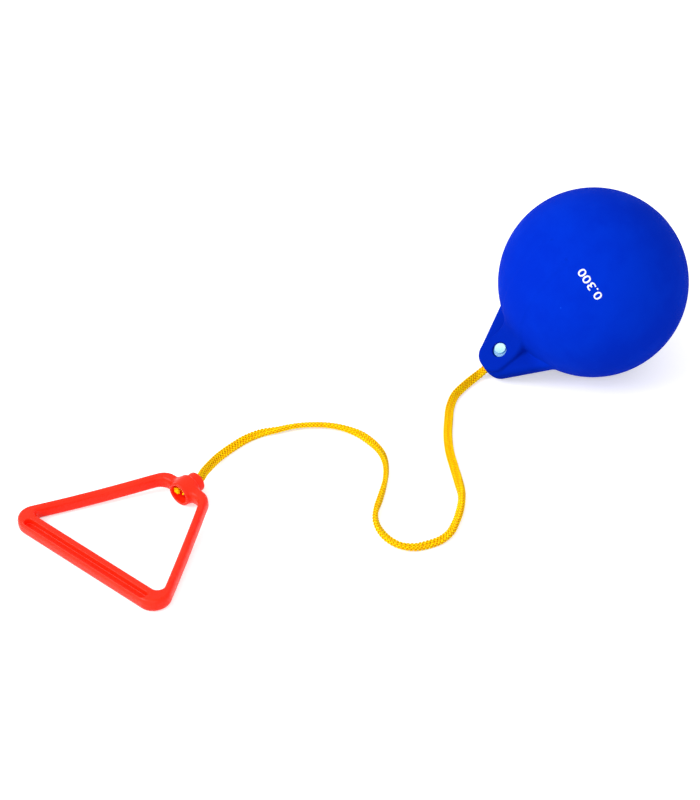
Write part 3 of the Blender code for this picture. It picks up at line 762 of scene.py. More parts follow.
def pin_field(x, y, z):
    """Distance from the pin, its raised faces off its middle, in the ball's frame."""
    half = TONGUE_THICKNESS / 2 - PIN_RECESS
    above = z - PIN_REACH
    bar = round_bar(np.hypot(x, above), y, PIN_RADIUS, -half, half, PIN_EDGE)
    shift = PIN_FLAP_OFFSET / math.sqrt(2.0)
    face = np.hypot(x + shift, above + shift) - PIN_FLAP_RADIUS
    ledge = np.maximum(-face, half - PIN_FLAP_DEPTH - np.abs(y))
    return soft_cut(bar, ledge, PIN_EDGE)


def plug_field(x, y, z):
    """Distance from the plug's head, with a dimple in its middle, in the ball's frame."""
    radial = np.hypot(x, y)
    crown = np.sqrt(x * x + y * y + z * z) - BALL_RADIUS
    base = z - (PLUG_HEAD_THICKNESS - BALL_RADIUS)
    head = np.maximum(radial - PLUG_HEAD_RADIUS, base)
    head = soft_cut(head, -crown, 2 * PLUG_EDGE)
    dimple_centre = -BALL_RADIUS - (PLUG_DIMPLE_RADIUS**2 / PLUG_DIMPLE_DEPTH - PLUG_DIMPLE_DEPTH) / 2
    dimple_radius = (PLUG_DIMPLE_RADIUS**2 / PLUG_DIMPLE_DEPTH + PLUG_DIMPLE_DEPTH) / 2
    dimple = np.sqrt(x * x + y * y + (z - dimple_centre) ** 2) - dimple_radius
    return soft_cut(head, dimple, PLUG_EDGE)


def arc(centre_x, centre_y, radius, start, end):
    """Points along an arc, both ends included."""
    steps = max(2, math.ceil(abs(end - start) / ARC_STEP))
    angles = [start + (end - start) * step / steps for step in range(steps + 1)]
    return [(centre_x + radius * math.cos(a), centre_y + radius * math.sin(a)) for a in angles]


def rounded_outline(corners):
    """A closed outline from corners given as x, y and the radius of each corner's arc."""
    points = []
    count = len(corners)
    for index, (x, y, radius) in enumerate(corners):
        here = Vector((x, y))
        before = (Vector(corners[index - 1][:2]) - here).normalized()
        after = (Vector(corners[(index + 1) % count][:2]) - here).normalized()
        half_angle = before.angle(after) / 2
        centre = here + (before + after).normalized() * radius / math.sin(half_angle)
        first = here + before * radius / math.tan(half_angle) - centre
        last = here + after * radius / math.tan(half_angle) - centre
        start = math.atan2(first.y, first.x)
        turn = (math.atan2(last.y, last.x) - start + math.pi) % (2 * math.pi) - math.pi
        points += arc(centre.x, centre.y, radius, start, start + turn)
    return points


def arm_edge(x, offset):
    """The y of a line beside the arm's centre line, at this x; a positive offset is outward."""
    return (offset + (HANDLE_DEPTH - x) * ARM_SINE) / ARM_COSINE


def mirrored(corners):
    """Corners on the +Y side, followed by their mirror images on the -Y side."""
    return corners + [(x, -y, radius) for x, y, radius in reversed(corners)]


def handle_outlines():
    """The handle's outer outline and the outline of the triangle inside it."""
    half_grip = GRIP_WIDTH / 2
    half_arm = ARM_WIDTH / 2
    back = MOUTH_DISTANCE + NECK_SETBACK
    front = back + NECK_WIDTH
    outer = mirrored(
        [
            (-half_grip, arm_edge(-half_grip, half_arm), OUTER_CORNER),
            (front, arm_edge(front, half_arm), SHOULDER_CORNER),
        ]
    )
    inner = mirrored(
        [
            (half_grip, arm_edge(half_grip, -half_arm), INNER_CORNER),
            (back, arm_edge(back, -half_arm), THROAT_CORNER),
        ]
    )
    return rounded_outline(outer), rounded_outline(inner)


HANDLE_OUTER, HANDLE_INNER = handle_outlines()


def outline_distance(outline, x, y):
    """Distance from a closed outline in its plane, negative inside it."""
    nearest = np.full(np.broadcast(x, y).shape, np.inf)
    inside = np.zeros(nearest.shape, bool)
    for (x0, y0), (x1, y1) in zip(outline, outline[1:] + outline[:1]):
        run_x = x1 - x0
        run_y = y1 - y0
        squared = run_x * run_x + run_y * run_y
        if squared == 0.0:
            continue
        share = np.clip(((x - x0) * run_x + (y - y0) * run_y) / squared, 0.0, 1.0)
        nearest = np.minimum(nearest, (x - x0 - share * run_x) ** 2 + (y - y0 - share * run_y) ** 2)
        if run_y != 0.0:
            crossed = ((y0 > y) != (y1 > y)) & (x < x0 + (y - y0) * run_x / run_y)
            inside ^= crossed
    return np.where(inside, -1.0, 1.0) * np.sqrt(nearest)


def handle_field(x, y, z):
    """Distance from the handle with its boss, bore and groove, in the handle's frame."""
    flat = np.maximum(outline_distance(HANDLE_OUTER, x, y), -outline_distance(HANDLE_INNER, x, y))
    sunk = ARM_SAG * np.sin(np.clip(x / MOUTH_DISTANCE, 0.0, 1.0) * math.pi)
    slimmer = BAR_EDGE / BAR_CROWN
    bars = rounded_plate(flat, (z + sunk) * slimmer, BAR_HEIGHT / 2 * slimmer, BAR_EDGE)
    radial = np.hypot(y, z)
    body = round_bar(radial, x, BOSS_RADIUS, MOUTH_DISTANCE, STEP, BOSS_EDGE)
    collar = round_bar(radial, x, COLLAR_RADIUS, MOUTH_DISTANCE + BOSS_EDGE, BOSS_END, COLLAR_EDGE)
    boss = soft_least(body, collar, CUT_BLEND)
    solid = soft_least(bars, boss, NECK_BLEND)
    bore = round_bar(radial, x, BORE_RADIUS, MOUTH_DISTANCE - BORE_DEPTH, SHOULDER, CUT_BLEND)
    solid = soft_cut(solid, bore, CUT_BLEND)
    hole = np.maximum(radial - CORD_HOLE_RADIUS, MOUTH_DISTANCE - x)
    solid = soft_cut(solid, hole, CUT_BLEND)
    middle = GROOVE_WALL + GROOVE_WIDTH / 2 - GRIP_WIDTH / 2
    beyond = np.maximum(np.abs(y) - (GROOVE_LENGTH - GROOVE_WIDTH) / 2, 0.0)
    groove = np.hypot(x - middle, beyond) - GROOVE_WIDTH / 2
    groove = rounded_plate(groove, z - BAR_HEIGHT / 2, GROOVE_DEPTH, GROOVE_EDGE)
    return soft_cut(solid, groove, GROOVE_EDGE)


def spaced_line(low, high, fine_stretches, fine, coarse):
    """Grid positions from low to high, close together in and near the fine stretches."""
    places = [low]
    while places[-1] < high:
        away = min(max(start - places[-1], places[-1] - end, 0.0) for start, end in fine_stretches)
        places.append(places[-1] + min(coarse, fine + GRID_GROWTH * away))
    return np.array(places)


def gradient(field, points):
    """A field's value and its unit gradient at points."""
    value = field(*points.T)
    slope = np.empty_like(points)
    for axis in range(3):
        moved = points.copy()
        moved[:, axis] += GRADIENT_STEP
        slope[:, axis] = field(*moved.T) - value
    return value, slope / np.maximum(np.linalg.norm(slope, axis=1, keepdims=True), 1e-12)


def surface_net(field, lines):
    """Points and quads over a field's zero level, one point in each grid cell that it crosses."""
    x, y, z = np.meshgrid(*lines, indexing="ij", sparse=True)
    values = np.broadcast_to(field(x, y, z), tuple(len(line) for line in lines))
    inside = values < 0.0
    corner_sum = np.zeros(tuple(len(line) - 1 for line in lines), int)
    for i in (0, 1):
        for j in (0, 1):
            for k in (0, 1):
                corner_sum += inside[
                    i : inside.shape[0] - 1 + i, j : inside.shape[1] - 1 + j, k : inside.shape[2] - 1 + k
                ]
    active = (corner_sum > 0) & (corner_sum < 8)
    numbers = np.full(active.shape, -1)
    numbers[active] = np.arange(active.sum())
    cells = np.argwhere(active)
    points = np.stack(
        [(line[cells[:, a]] + line[cells[:, a] + 1]) / 2 for a, line in enumerate(lines)], axis=1
    )
    quads = []
    for axis in range(3):
        first, second = (axis + 1) % 3, (axis + 2) % 3
        low = np.take(inside, np.arange(inside.shape[axis] - 1), axis)
        high = np.take(inside, np.arange(1, inside.shape[axis]), axis)
        edges = np.argwhere(low != high)
        ring = []
        for back_first, back_second in ((1, 1), (0, 1), (0, 0), (1, 0)):
            cell = edges.copy()
            cell[:, first] -= back_first
            cell[:, second] -= back_second
            ring.append(numbers[tuple(cell.T)])
        ring = np.stack(ring, axis=1)
        turned = high[tuple(edges.T)]
        ring[turned] = ring[turned][:, ::-1]
        quads.append(ring)
    return points, np.concatenate(quads)


def settle(field, points, quads):
    """Move points onto a field's zero level, and even out their spacing over it."""
    ends = np.concatenate([quads[:, [a, (a + 1) % 4]] for a in range(4)])
    for turn in range(SETTLE_ROUNDS):
        if turn:
            total = np.zeros_like(points)
            count = np.zeros(len(points))
            np.add.at(total, ends[:, 0], points[ends[:, 1]])
            np.add.at(count, ends[:, 0], 1.0)
            points = (points + total / count[:, None]) / 2
        for _ in range(NEWTON_STEPS):
            value, slope = gradient(field, points)
            points = points - value[:, None] * slope
    return points


def moulding(name, field, lines, place, look):
    """A smooth closed mesh of a field's zero level, with the field's own normals."""
    points, quads = surface_net(field, lines)
    points = settle(field, points, quads)
    _, normals = gradient(field, points)
    turn = np.array(place.to_3x3())
    world = points @ turn.T + np.array(place.translation)
    mesh = bpy.data.meshes.new(name)
    mesh.from_pydata(world.tolist(), [], quads.tolist())
    mesh.shade_smooth()
    mesh.normals_split_custom_set_from_vertices((normals @ turn.T).tolist())
    mesh.materials.append(look)
    return add_object(name, mesh), points


def store_place(piece, name, points):
    """Keep each point's place in the piece's own frame as an attribute for its material."""
    attribute = piece.data.attributes.new(name, "FLOAT_VECTOR", "POINT")
    attribute.data.foreach_set("vector", points.astype(np.float32).ravel())


def mount_piece(piece, body, slot, *nodes):
    """Let a finished piece move with a body and stand for model nodes, which are hidden; its slot is not
    used.
    """
    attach(piece, body)
    if nodes:
        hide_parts(*nodes)
    return piece


def make_ball(look):
    half_wide = BALL_RADIUS + WIDE_MARGIN
    far = TIP_REACH + WIDE_MARGIN
    lines = (
        spaced_line(-half_wide, half_wide, BALL_FINE_X, BALL_FINE, BALL_COARSE),
        spaced_line(-half_wide, half_wide, BALL_FINE_Y, BALL_FINE, BALL_COARSE),
        spaced_line(-half_wide, far, BALL_FINE_Z, BALL_FINE, BALL_COARSE),
    )
    piece, points = moulding("ball_moulding", ball_field, lines, BALL_PLACE, look)
    store_place(piece, "ball_place", points)
    return mount_piece(piece, BALL_BODY, "ball_pvc", "ball_shell")


def make_pin(look):
    half_wide = PIN_RADIUS + CLOSE_MARGIN
    half_long = TONGUE_THICKNESS / 2 + CLOSE_MARGIN
    lines = (
        np.arange(-half_wide, half_wide, PIN_FINE),
        spaced_line(-half_long, half_long, PIN_FINE_Y, PIN_FINE, PIN_COARSE),
        PIN_REACH + np.arange(-half_wide, half_wide, PIN_FINE),
    )
    piece, points = moulding("pin_moulding", pin_field, lines, BALL_PLACE, look)
    store_place(piece, "pin_place", points - np.array([0.0, 0.0, PIN_REACH]))
    return mount_piece(piece, BALL_BODY, "pin_plastic", "cross_pin")


def make_plug(look):
    half_wide = PLUG_HEAD_RADIUS + CLOSE_MARGIN
    across = np.arange(-half_wide, half_wide, PLUG_FINE)
    top = PLUG_HEAD_THICKNESS + CLOSE_MARGIN - BALL_RADIUS
    lines = (across, across, np.arange(-BALL_RADIUS - CLOSE_MARGIN, top, PLUG_FINE))
    piece, _ = moulding("plug_moulding", plug_field, lines, BALL_PLACE, look)
    return mount_piece(piece, BALL_BODY, "ball_pvc", "fill_plug")


def make_handle(look):
    near = -GRIP_WIDTH / 2 - WIDE_MARGIN
    far = BOSS_END + WIDE_MARGIN
    half_span = max(y for _, y in HANDLE_OUTER) + WIDE_MARGIN
    half_high = BOSS_RADIUS + WIDE_MARGIN
    lines = (
        spaced_line(near, far, HANDLE_FINE_X, HANDLE_FINE, HANDLE_COARSE),
        spaced_line(-half_span, half_span, HANDLE_FINE_Y, HANDLE_FINE, HANDLE_COARSE),
        np.arange(-half_high, half_high, HANDLE_FINE),
    )
    piece, _ = moulding("handle_moulding", handle_field, lines, HANDLE_PLACE, look)
    return mount_piece(piece, GRIP_BODY, "handle_plastic", "handle")


# Seam and number on the ball

def seam_ring(angle, fade):
    """The ridge's section at this angle round the ball: a low arch, rooted in the wall."""
    ring = []
    for turn in range(SEAM_SECTION + 1):
        share = turn / SEAM_SECTION * 2.0 - 1.0
        radius = BALL_RADIUS + SEAM_HEIGHT * (fade * math.cos(share * math.pi / 2) - 0.1)
        ring.append((radius, share * SEAM_WIDTH / 2))
    ring.append((BALL_RADIUS - SEAM_ROOT, 0.0))
    return [
        BALL_PLACE @ Vector((radius * math.cos(angle), across, radius * math.sin(angle)))
        for radius, across in ring
    ]


def make_seam(look):
    """The faint ridge where the ball's two mould halves met, from one flank of the lug to the other."""
    shape = bmesh.new()
    rings = []
    for step in range(SEAM_STEPS + 1):
        angle = math.pi / 2 + SEAM_OPEN_ANGLE + (2 * math.pi - 2 * SEAM_OPEN_ANGLE) * step / SEAM_STEPS
        fade = min(1.0, step / SEAM_FADE_STEPS, (SEAM_STEPS - step) / SEAM_FADE_STEPS)
        rings.append([shape.verts.new(point) for point in seam_ring(angle, fade)])
    for first, second in zip(rings, rings[1:]):
        for turn in range(len(first)):
            after = (turn + 1) % len(first)
            shape.faces.new((first[turn], first[after], second[after], second[turn]))
    shape.faces.new(rings[0])
    shape.faces.new(rings[-1])
    bmesh.ops.recalc_face_normals(shape, faces=shape.faces)
    mesh = bpy.data.meshes.new("ball_seam")
    shape.to_mesh(mesh)
    shape.free()
    mesh.shade_smooth()
    mesh.set_sharp_from_angle(angle=SEAM_SHARP_ANGLE)
    mesh.materials.append(look)
    return mount_piece(add_object("ball_seam", mesh), BALL_BODY, "ball_pvc")


# The number printed on the ball: its middle and its reading direction seen from the camera, as shares
# of the ball's radius to the right and upwards
MARK_TEXT = "0.300"
MARK_MIDDLE = (-0.030, -0.018)
MARK_READING = (-0.564, 0.826)
MARK_HEIGHT = 0.0054
MARK_LENGTH = 0.0215
MARK_THICKNESS = 0.00006
MARK_BOLDNESS = 0.008
MARK_MERGE = 0.0001


def plain_mesh(name, source):
    """The mesh of an object with its modifiers or its text worked out; the object is removed."""
    bpy.context.view_layer.update()
    evaluated = source.evaluated_get(bpy.context.evaluated_depsgraph_get())
    mesh = bpy.data.meshes.new_from_object(evaluated)
    mesh.name = name
    bpy.data.objects.remove(source, do_unlink=True)
    return mesh


def number_mesh():
    """The digits, flat."""
    data = bpy.data.curves.new("number", "FONT")
    data.body = MARK_TEXT
    data.align_x = "CENTER"
    data.align_y = "CENTER"
    data.size = 1.0
    data.offset = MARK_BOLDNESS
    data.resolution_u = 3
    return plain_mesh("number_mark", add_object("number_text", data))


def number_ways():
    """The ways from the ball's centre to the number's middle, along its reading and up its digits."""
    turn = Matrix.Rotation(CAMERA_AZIMUTH, 3, "Z") @ Matrix.Rotation(
        math.pi / 2 - CAMERA_ELEVATION, 3, "X"
    )
    towards = (Vector(CAMERA_PLACE) - BALL_PLACE.translation).normalized()
    right = turn @ Vector((1.0, 0.0, 0.0))
    right = (right - towards * right.dot(towards)).normalized()
    upward = towards.cross(right)
    aside, above = MARK_MIDDLE
    pole = right * aside + upward * above
    pole += towards * math.sqrt(1.0 - aside * aside - above * above)
    pole.normalize()
    reading = right * MARK_READING[0] + upward * MARK_READING[1]
    reading = (reading - pole * reading.dot(pole)).normalized()
    return pole, reading, pole.cross(reading)


def make_number(look):
    """A plain number, wrapped onto the ball."""
    mesh = number_mesh()
    pole, reading, over = number_ways()
    shape = bmesh.new()
    shape.from_mesh(mesh)
    bmesh.ops.remove_doubles(shape, verts=shape.verts, dist=MARK_MERGE)
    low = Vector(min(v.co[a] for v in shape.verts) for a in range(2))
    high = Vector(max(v.co[a] for v in shape.verts) for a in range(2))
    middle = (low + high) / 2
    wide = MARK_LENGTH / (high.x - low.x)
    tall = MARK_HEIGHT / (high.y - low.y)
    bmesh.ops.triangulate(shape, faces=shape.faces)
    made = bmesh.ops.extrude_face_region(shape, geom=shape.faces[:])
    raised = {item for item in made["geom"] if isinstance(item, bmesh.types.BMVert)}
    for vert in shape.verts:
        x = (vert.co.x - middle.x) * wide
        y = (vert.co.y - middle.y) * tall
        radius = BALL_RADIUS + (MARK_THICKNESS if vert in raised else -MARK_THICKNESS)
        direction = (pole * BALL_RADIUS + reading * x + over * y).normalized()
        vert.co = BALL_PLACE.translation + direction * radius
    bmesh.ops.recalc_face_normals(shape, faces=shape.faces)
    shape.to_mesh(mesh)
    shape.free()
    mesh.materials.clear()
    mesh.materials.append(look)
    return mount_piece(add_object("number_mark", mesh), BALL_BODY, "ball_pvc")


# Braided cord

def geometry_tree(name, inputs):
    """An empty geometry node tree with these inputs, as (name, type, default value)."""
    tree = bpy.data.node_groups.new(name, "GeometryNodeTree")
    tree.interface.new_socket(name="Geometry", in_out="INPUT", socket_type="NodeSocketGeometry")
    tree.interface.new_socket(name="Geometry", in_out="OUTPUT", socket_type="NodeSocketGeometry")
    for label, kind, value in inputs:
        socket = tree.interface.new_socket(name=label, in_out="INPUT", socket_type=kind)
        if value is not None:
            socket.default_value = value
    return tree, tree.nodes.new("NodeGroupInput"), tree.nodes.new("NodeGroupOutput")


def vector_math(tree, operation, *values, scale=None):
    """The result of a Vector Math node."""
    values = dict(enumerate(values))
    if scale is not None:
        values["Scale"] = scale
    node = add_node(tree, "ShaderNodeVectorMath", values, operation=operation)
    return node.outputs["Value" if operation == "DOT_PRODUCT" else "Vector"]


def dressed_instances(tree, instances, given):
    """Instances with a random shade each, made into one smooth mesh with the tree's material."""
    shade = add_node(
        tree, "FunctionNodeRandomValue", {"Seed": given["Seed"]}, data_type="FLOAT"
    ).outputs[1]
    instances = add_node(
        tree,
        "GeometryNodeStoreNamedAttribute",
        {"Geometry": instances, "Name": "yarn_shade", "Value": shade},
        data_type="FLOAT",
        domain="INSTANCE",
    ).outputs[0]
    real = add_node(tree, "GeometryNodeRealizeInstances", {"Geometry": instances}).outputs[0]
    smooth = add_node(tree, "GeometryNodeSetShadeSmooth", {"Geometry": real}).outputs[0]
    return add_node(
        tree, "GeometryNodeSetMaterial", {"Geometry": smooth, "Material": given["Material"]}
    ).outputs[0]


def stitch_mesh(tree):
    """One stitch before its size is set: a ball that keeps its own coordinates for the yarn's shading."""
    ball = add_node(
        tree, "GeometryNodeMeshUVSphere", {"Segments": STITCH_SEGMENTS, "Rings": STITCH_RINGS, "Radius": 1.0}
    ).outputs["Mesh"]
    upright = add_node(
        tree, "GeometryNodeTransform", {"Geometry": ball, "Rotation": (0.0, math.pi / 2, 0.0)}
    ).outputs[0]
    place = add_node(tree, "GeometryNodeInputPosition").outputs[0]
    return add_node(
        tree,
        "GeometryNodeStoreNamedAttribute",
        {"Geometry": upright, "Name": "yarn_place", "Value": place},
        data_type="FLOAT_VECTOR",
        domain="POINT",
    ).outputs[0]


def strand_ways(tree, places):
    """At each place on a strand, the ways along it, to its outer side and across both."""
    tangent = places.outputs["Tangent"]
    outward = add_node(
        tree, "GeometryNodeInputNamedAttribute", {"Name": "side"}, data_type="FLOAT_VECTOR"
    ).outputs["Attribute"]
    along = vector_math(tree, "SCALE", tangent, scale=vector_math(tree, "DOT_PRODUCT", outward, tangent))
    normal = vector_math(tree, "NORMALIZE", vector_math(tree, "SUBTRACT", outward, along))
    return tangent, normal, vector_math(tree, "CROSS_PRODUCT", tangent, normal)


def column_way(tree, given, column, normal, side):
    """The way from the strand's middle to a column, and the column's distance from it."""
    turn = math_node(tree, "DIVIDE", math_node(tree, "MULTIPLY", column, 2 * math.pi), given["Columns"])
    cosine = math_node(tree, "COSINE", turn)
    sine = math_node(tree, "SINE", turn)
    out_normal = vector_math(tree, "SCALE", normal, scale=cosine)
    out_side = vector_math(tree, "SCALE", side, scale=sine)
    widest = math_node(
        tree, "MAXIMUM", math_node(tree, "ABSOLUTE", cosine), math_node(tree, "ABSOLUTE", sine)
    )
    swell = math_node(tree, "POWER", widest, math_node(tree, "MULTIPLY", given["Squareness"], -1.0))
    reach = math_node(tree, "MULTIPLY", given["Radius"], swell)
    return vector_math(tree, "ADD", out_normal, out_side), reach


def stitch_turn(tree, given, odd, radial, tangent):
    """A stitch's turn: its height points outward, and its length leans to its column's side."""
    sign = math_node(tree, "MULTIPLY_ADD", odd, 2.0, -1.0)
    lean = math_node(tree, "MULTIPLY", sign, given["Lean"])
    around = vector_math(tree, "CROSS_PRODUCT", radial, tangent)
    heading = vector_math(
        tree,
        "ADD",
        vector_math(tree, "SCALE", tangent, scale=math_node(tree, "COSINE", lean)),
        vector_math(tree, "SCALE", around, scale=math_node(tree, "SINE", lean)),
    )
    return add_node(
        tree,
        "FunctionNodeAxesToRotation",
        {"Primary Axis": radial, "Secondary Axis": heading},
        primary_axis="Z",
        secondary_axis="X",
    ).outputs[0]


def braid_tree():
    """Stitches round a line, on a rounded square: columns lean left and right in turn, and every second
    one is shifted by half a pitch."""
    tree, given, out = geometry_tree(
        "braid",
        [
            ("Columns", "NodeSocketInt", BRAID_COLUMNS),
            ("Pitch", "NodeSocketFloat", BRAID_PITCH),
            ("Radius", "NodeSocketFloat", BRAID_RADIUS),
            ("Squareness", "NodeSocketFloat", BRAID_SQUARENESS),
            ("Lean", "NodeSocketFloat", BRAID_LEAN),
            ("Stitch Size", "NodeSocketVector", (1.0, 1.0, 1.0)),
            ("Seed", "NodeSocketInt", 1),
            ("Material", "NodeSocketMaterial", None),
        ],
    )
    given = given.outputs
    curve = add_node(tree, "GeometryNodeMeshToCurve", {"Mesh": given["Geometry"]}).outputs[0]
    curve = add_node(
        tree, "GeometryNodeResampleCurve", {"Curve": curve, "Length": given["Pitch"]}, mode="LENGTH"
    ).outputs[0]
    places = add_node(tree, "GeometryNodeCurveToPoints", {"Curve": curve}, mode="EVALUATED")
    copies = add_node(
        tree,
        "GeometryNodeDuplicateElements",
        {"Geometry": places.outputs["Points"], "Amount": given["Columns"]},
        domain="POINT",
    )
    column = copies.outputs["Duplicate Index"]
    tangent, normal, side = strand_ways(tree, places)
    radial, reach = column_way(tree, given, column, normal, side)
    odd = math_node(tree, "MODULO", column, 2.0)
    shift = math_node(tree, "MULTIPLY", math_node(tree, "MULTIPLY", odd, 0.5), given["Pitch"])
    offset = vector_math(
        tree,
        "ADD",
        vector_math(tree, "SCALE", radial, scale=reach),
        vector_math(tree, "SCALE", tangent, scale=shift),
    )
    placed = add_node(
        tree, "GeometryNodeSetPosition", {"Geometry": copies.outputs["Geometry"], "Offset": offset}
    ).outputs[0]
    turned = stitch_turn(tree, given, odd, radial, tangent)
    instances = add_node(
        tree,
        "GeometryNodeInstanceOnPoints",
        {"Points": placed, "Instance": stitch_mesh(tree), "Rotation": turned, "Scale": given["Stitch Size"]},
    ).outputs[0]
    tree.links.new(dressed_instances(tree, instances, given), out.inputs["Geometry"])
    return tree


BRAID = braid_tree()


def line_object(name, points, sides):
    """A mesh of edges along points, each point with the way to the line's outer side."""
    mesh = bpy.data.meshes.new(name)
    edges = [(index, index + 1) for index in range(len(points) - 1)]
    mesh.from_pydata([tuple(point) for point in points], edges, [])
    attribute = mesh.attributes.new("side", "FLOAT_VECTOR", "POINT")
    for item, side in zip(attribute.data, sides):
        item.vector = side.normalized()
    return add_object(name, mesh)


def grown(name, guide, tree, **values):
    """The plain mesh that a geometry node tree makes from a guide, which is removed."""
    modifier = guide.modifiers.new("grown", "NODES")
    modifier.node_group = tree
    sockets = {item.name: item.identifier for item in tree.interface.items_tree if item.in_out == "INPUT"}
    for key, value in values.items():
        modifier[sockets[key.replace("_", " ")]] = value
    return add_object(name, plain_mesh(name, guide))


def braid(name, points, sides, look, seed):
    """The braid round a strand."""
    size = (STITCH_LENGTH / 2, STITCH_WIDTH / 2, STITCH_HEIGHT / 2)
    line = line_object(name + "_line", points, sides)
    return grown(name, line, BRAID, Stitch_Size=size, Seed=seed, Material=look)


def core_tube(name, points, look):
    """A strand's core: a closed tube along points."""
    data = bpy.data.curves.new(name, "CURVE")
    data.dimensions = "3D"
    data.bevel_depth = CORE_DIAMETER / 2
    data.bevel_resolution = CORE_RESOLUTION
    data.use_fill_caps = True
    spline = data.splines.new("POLY")
    spline.points.add(len(points) - 1)
    for point, place in zip(spline.points, points):
        point.co = (*place, 1.0)
    data.materials.append(look)
    return add_object(name, data)


def make_cord(yarn, core):
    """The core along the cord's whole line, and the braid on each of its two halves."""
    line = core_tube("cord_core", CORD_LINE, core)
    half = len(CORD_LINE) // 2
    out_braid = braid("cord_braid_out", CORD_LINE[: half + 1], CORD_SIDES[: half + 1], yarn, seed=3)
    back_braid = braid("cord_braid_back", CORD_LINE[half:], CORD_SIDES[half:], yarn, seed=4)
    for piece in (out_braid, back_braid):
        mount_piece(piece, CORD_BODY, "cord_braid")
    mount_piece(line, CORD_BODY, "cord_braid", "cord")


# Knot and cut ends in the boss

# The knot is a short coil beside the boss's axis, on its upper side: its swelling, narrowing and wobble
# along its length keep it from being a plain spring
KNOT_RADIUS = 0.0022
KNOT_ASIDE = -0.0014
KNOT_RAISED = 0.0014
KNOT_TURNS = 1.75
KNOT_LENGTH = 0.0036
KNOT_SETBACK = 0.0002
KNOT_TOP = SHOULDER - CLEARANCE - CORD_DIAMETER / 2 - KNOT_SETBACK
KNOT_SWELL = 0.10
KNOT_TAPER = 0.15
KNOT_WOBBLE = 0.0004
KNOT_STEPS = 60

TUFT_LENGTH = 0.0020
TUFT_RADIUS = 0.0011
FIBRE_THICKNESS = 0.00022
FIBRE_SHORTEST = 0.6
FIBRE_SHAKE = 0.35
STUB_STEPS = 8
STUB_SEED_SHIFT = 20


def knot_line():
    """The knot's line in the boss: a turn and three quarters about its own axis."""
    points = []
    for step in range(KNOT_STEPS + 1):
        share = step / KNOT_STEPS
        angle = 2 * math.pi * KNOT_TURNS * share
        swell = 1.0 + KNOT_SWELL * math.sin(3 * angle)
        radius = (KNOT_RADIUS - CORD_DIAMETER / 10) * swell * (1.0 - KNOT_TAPER * share)
        reach = KNOT_TOP - KNOT_LENGTH * share + KNOT_WOBBLE * math.sin(2 * angle)
        across = KNOT_ASIDE + radius * math.cos(angle)
        above = KNOT_RAISED + radius * math.sin(angle)
        points.append(HANDLE_PLACE @ Vector((reach, across, above)))
    return points


def make_knot(yarn, core):
    line = knot_line()
    knot = core_tube("knot_core", line, core)
    middle = HANDLE_PLACE @ Vector((KNOT_TOP - KNOT_LENGTH / 2, KNOT_ASIDE, KNOT_RAISED))
    stitches = braid("knot_braid", line, [point - middle for point in line], yarn, seed=7)
    mount_piece(knot, CORD_BODY, "cord_braid", "stopper_knot")
    mount_piece(stitches, CORD_BODY, "cord_braid")
    return [knot, stitches]


def fibre_mesh(tree):
    """One fibre before its size is set: a cone whose tip is cut off."""
    return add_node(
        tree,
        "GeometryNodeMeshCone",
        {"Vertices": 5, "Side Segments": 1, "Radius Top": 0.35, "Radius Bottom": 0.5, "Depth": 1.0},
    ).outputs[0]


def disc_points(tree, given):
    """Points spread evenly over the cut end's disc by the golden angle, and each one's place on it."""
    dots = add_node(tree, "GeometryNodePoints", {"Count": given["Fibres"]}).outputs[0]
    index = add_node(tree, "GeometryNodeInputIndex").outputs[0]
    share = math_node(tree, "DIVIDE", math_node(tree, "ADD", index, 0.5), given["Fibres"])
    radius = math_node(tree, "MULTIPLY", math_node(tree, "SQRT", share), given["End Radius"])
    angle = math_node(tree, "MULTIPLY", index, math.pi * (3.0 - math.sqrt(5.0)))
    ring_x = math_node(tree, "MULTIPLY", math_node(tree, "COSINE", angle), radius)
    ring_y = math_node(tree, "MULTIPLY", math_node(tree, "SINE", angle), radius)
    offset = add_node(tree, "ShaderNodeCombineXYZ", {"X": ring_x, "Y": ring_y, "Z": 0.0}).outputs[0]
    placed = add_node(tree, "GeometryNodeSetPosition", {"Geometry": dots, "Offset": offset}).outputs[0]
    return placed, offset


def fibre_turn(tree, given, offset):
    """A fibre's turn: out of the disc, fanned away from its middle and shaken a little."""
    low = (-FIBRE_SHAKE, -FIBRE_SHAKE, 0.0)
    high = (FIBRE_SHAKE, FIBRE_SHAKE, 0.0)
    shaken = add_node(
        tree,
        "FunctionNodeRandomValue",
        {"Min": low, "Max": high, "Seed": given["Seed"]},
        data_type="FLOAT_VECTOR",
    ).outputs[0]
    fan_scale = math_node(tree, "DIVIDE", given["Spread"], given["End Radius"])
    fan = vector_math(tree, "SCALE", offset, scale=fan_scale)
    aim = vector_math(tree, "ADD", vector_math(tree, "ADD", fan, shaken), (0.0, 0.0, 1.0))
    return add_node(
        tree, "FunctionNodeAlignRotationToVector", {"Vector": aim}, axis="Z"
    ).outputs[0]


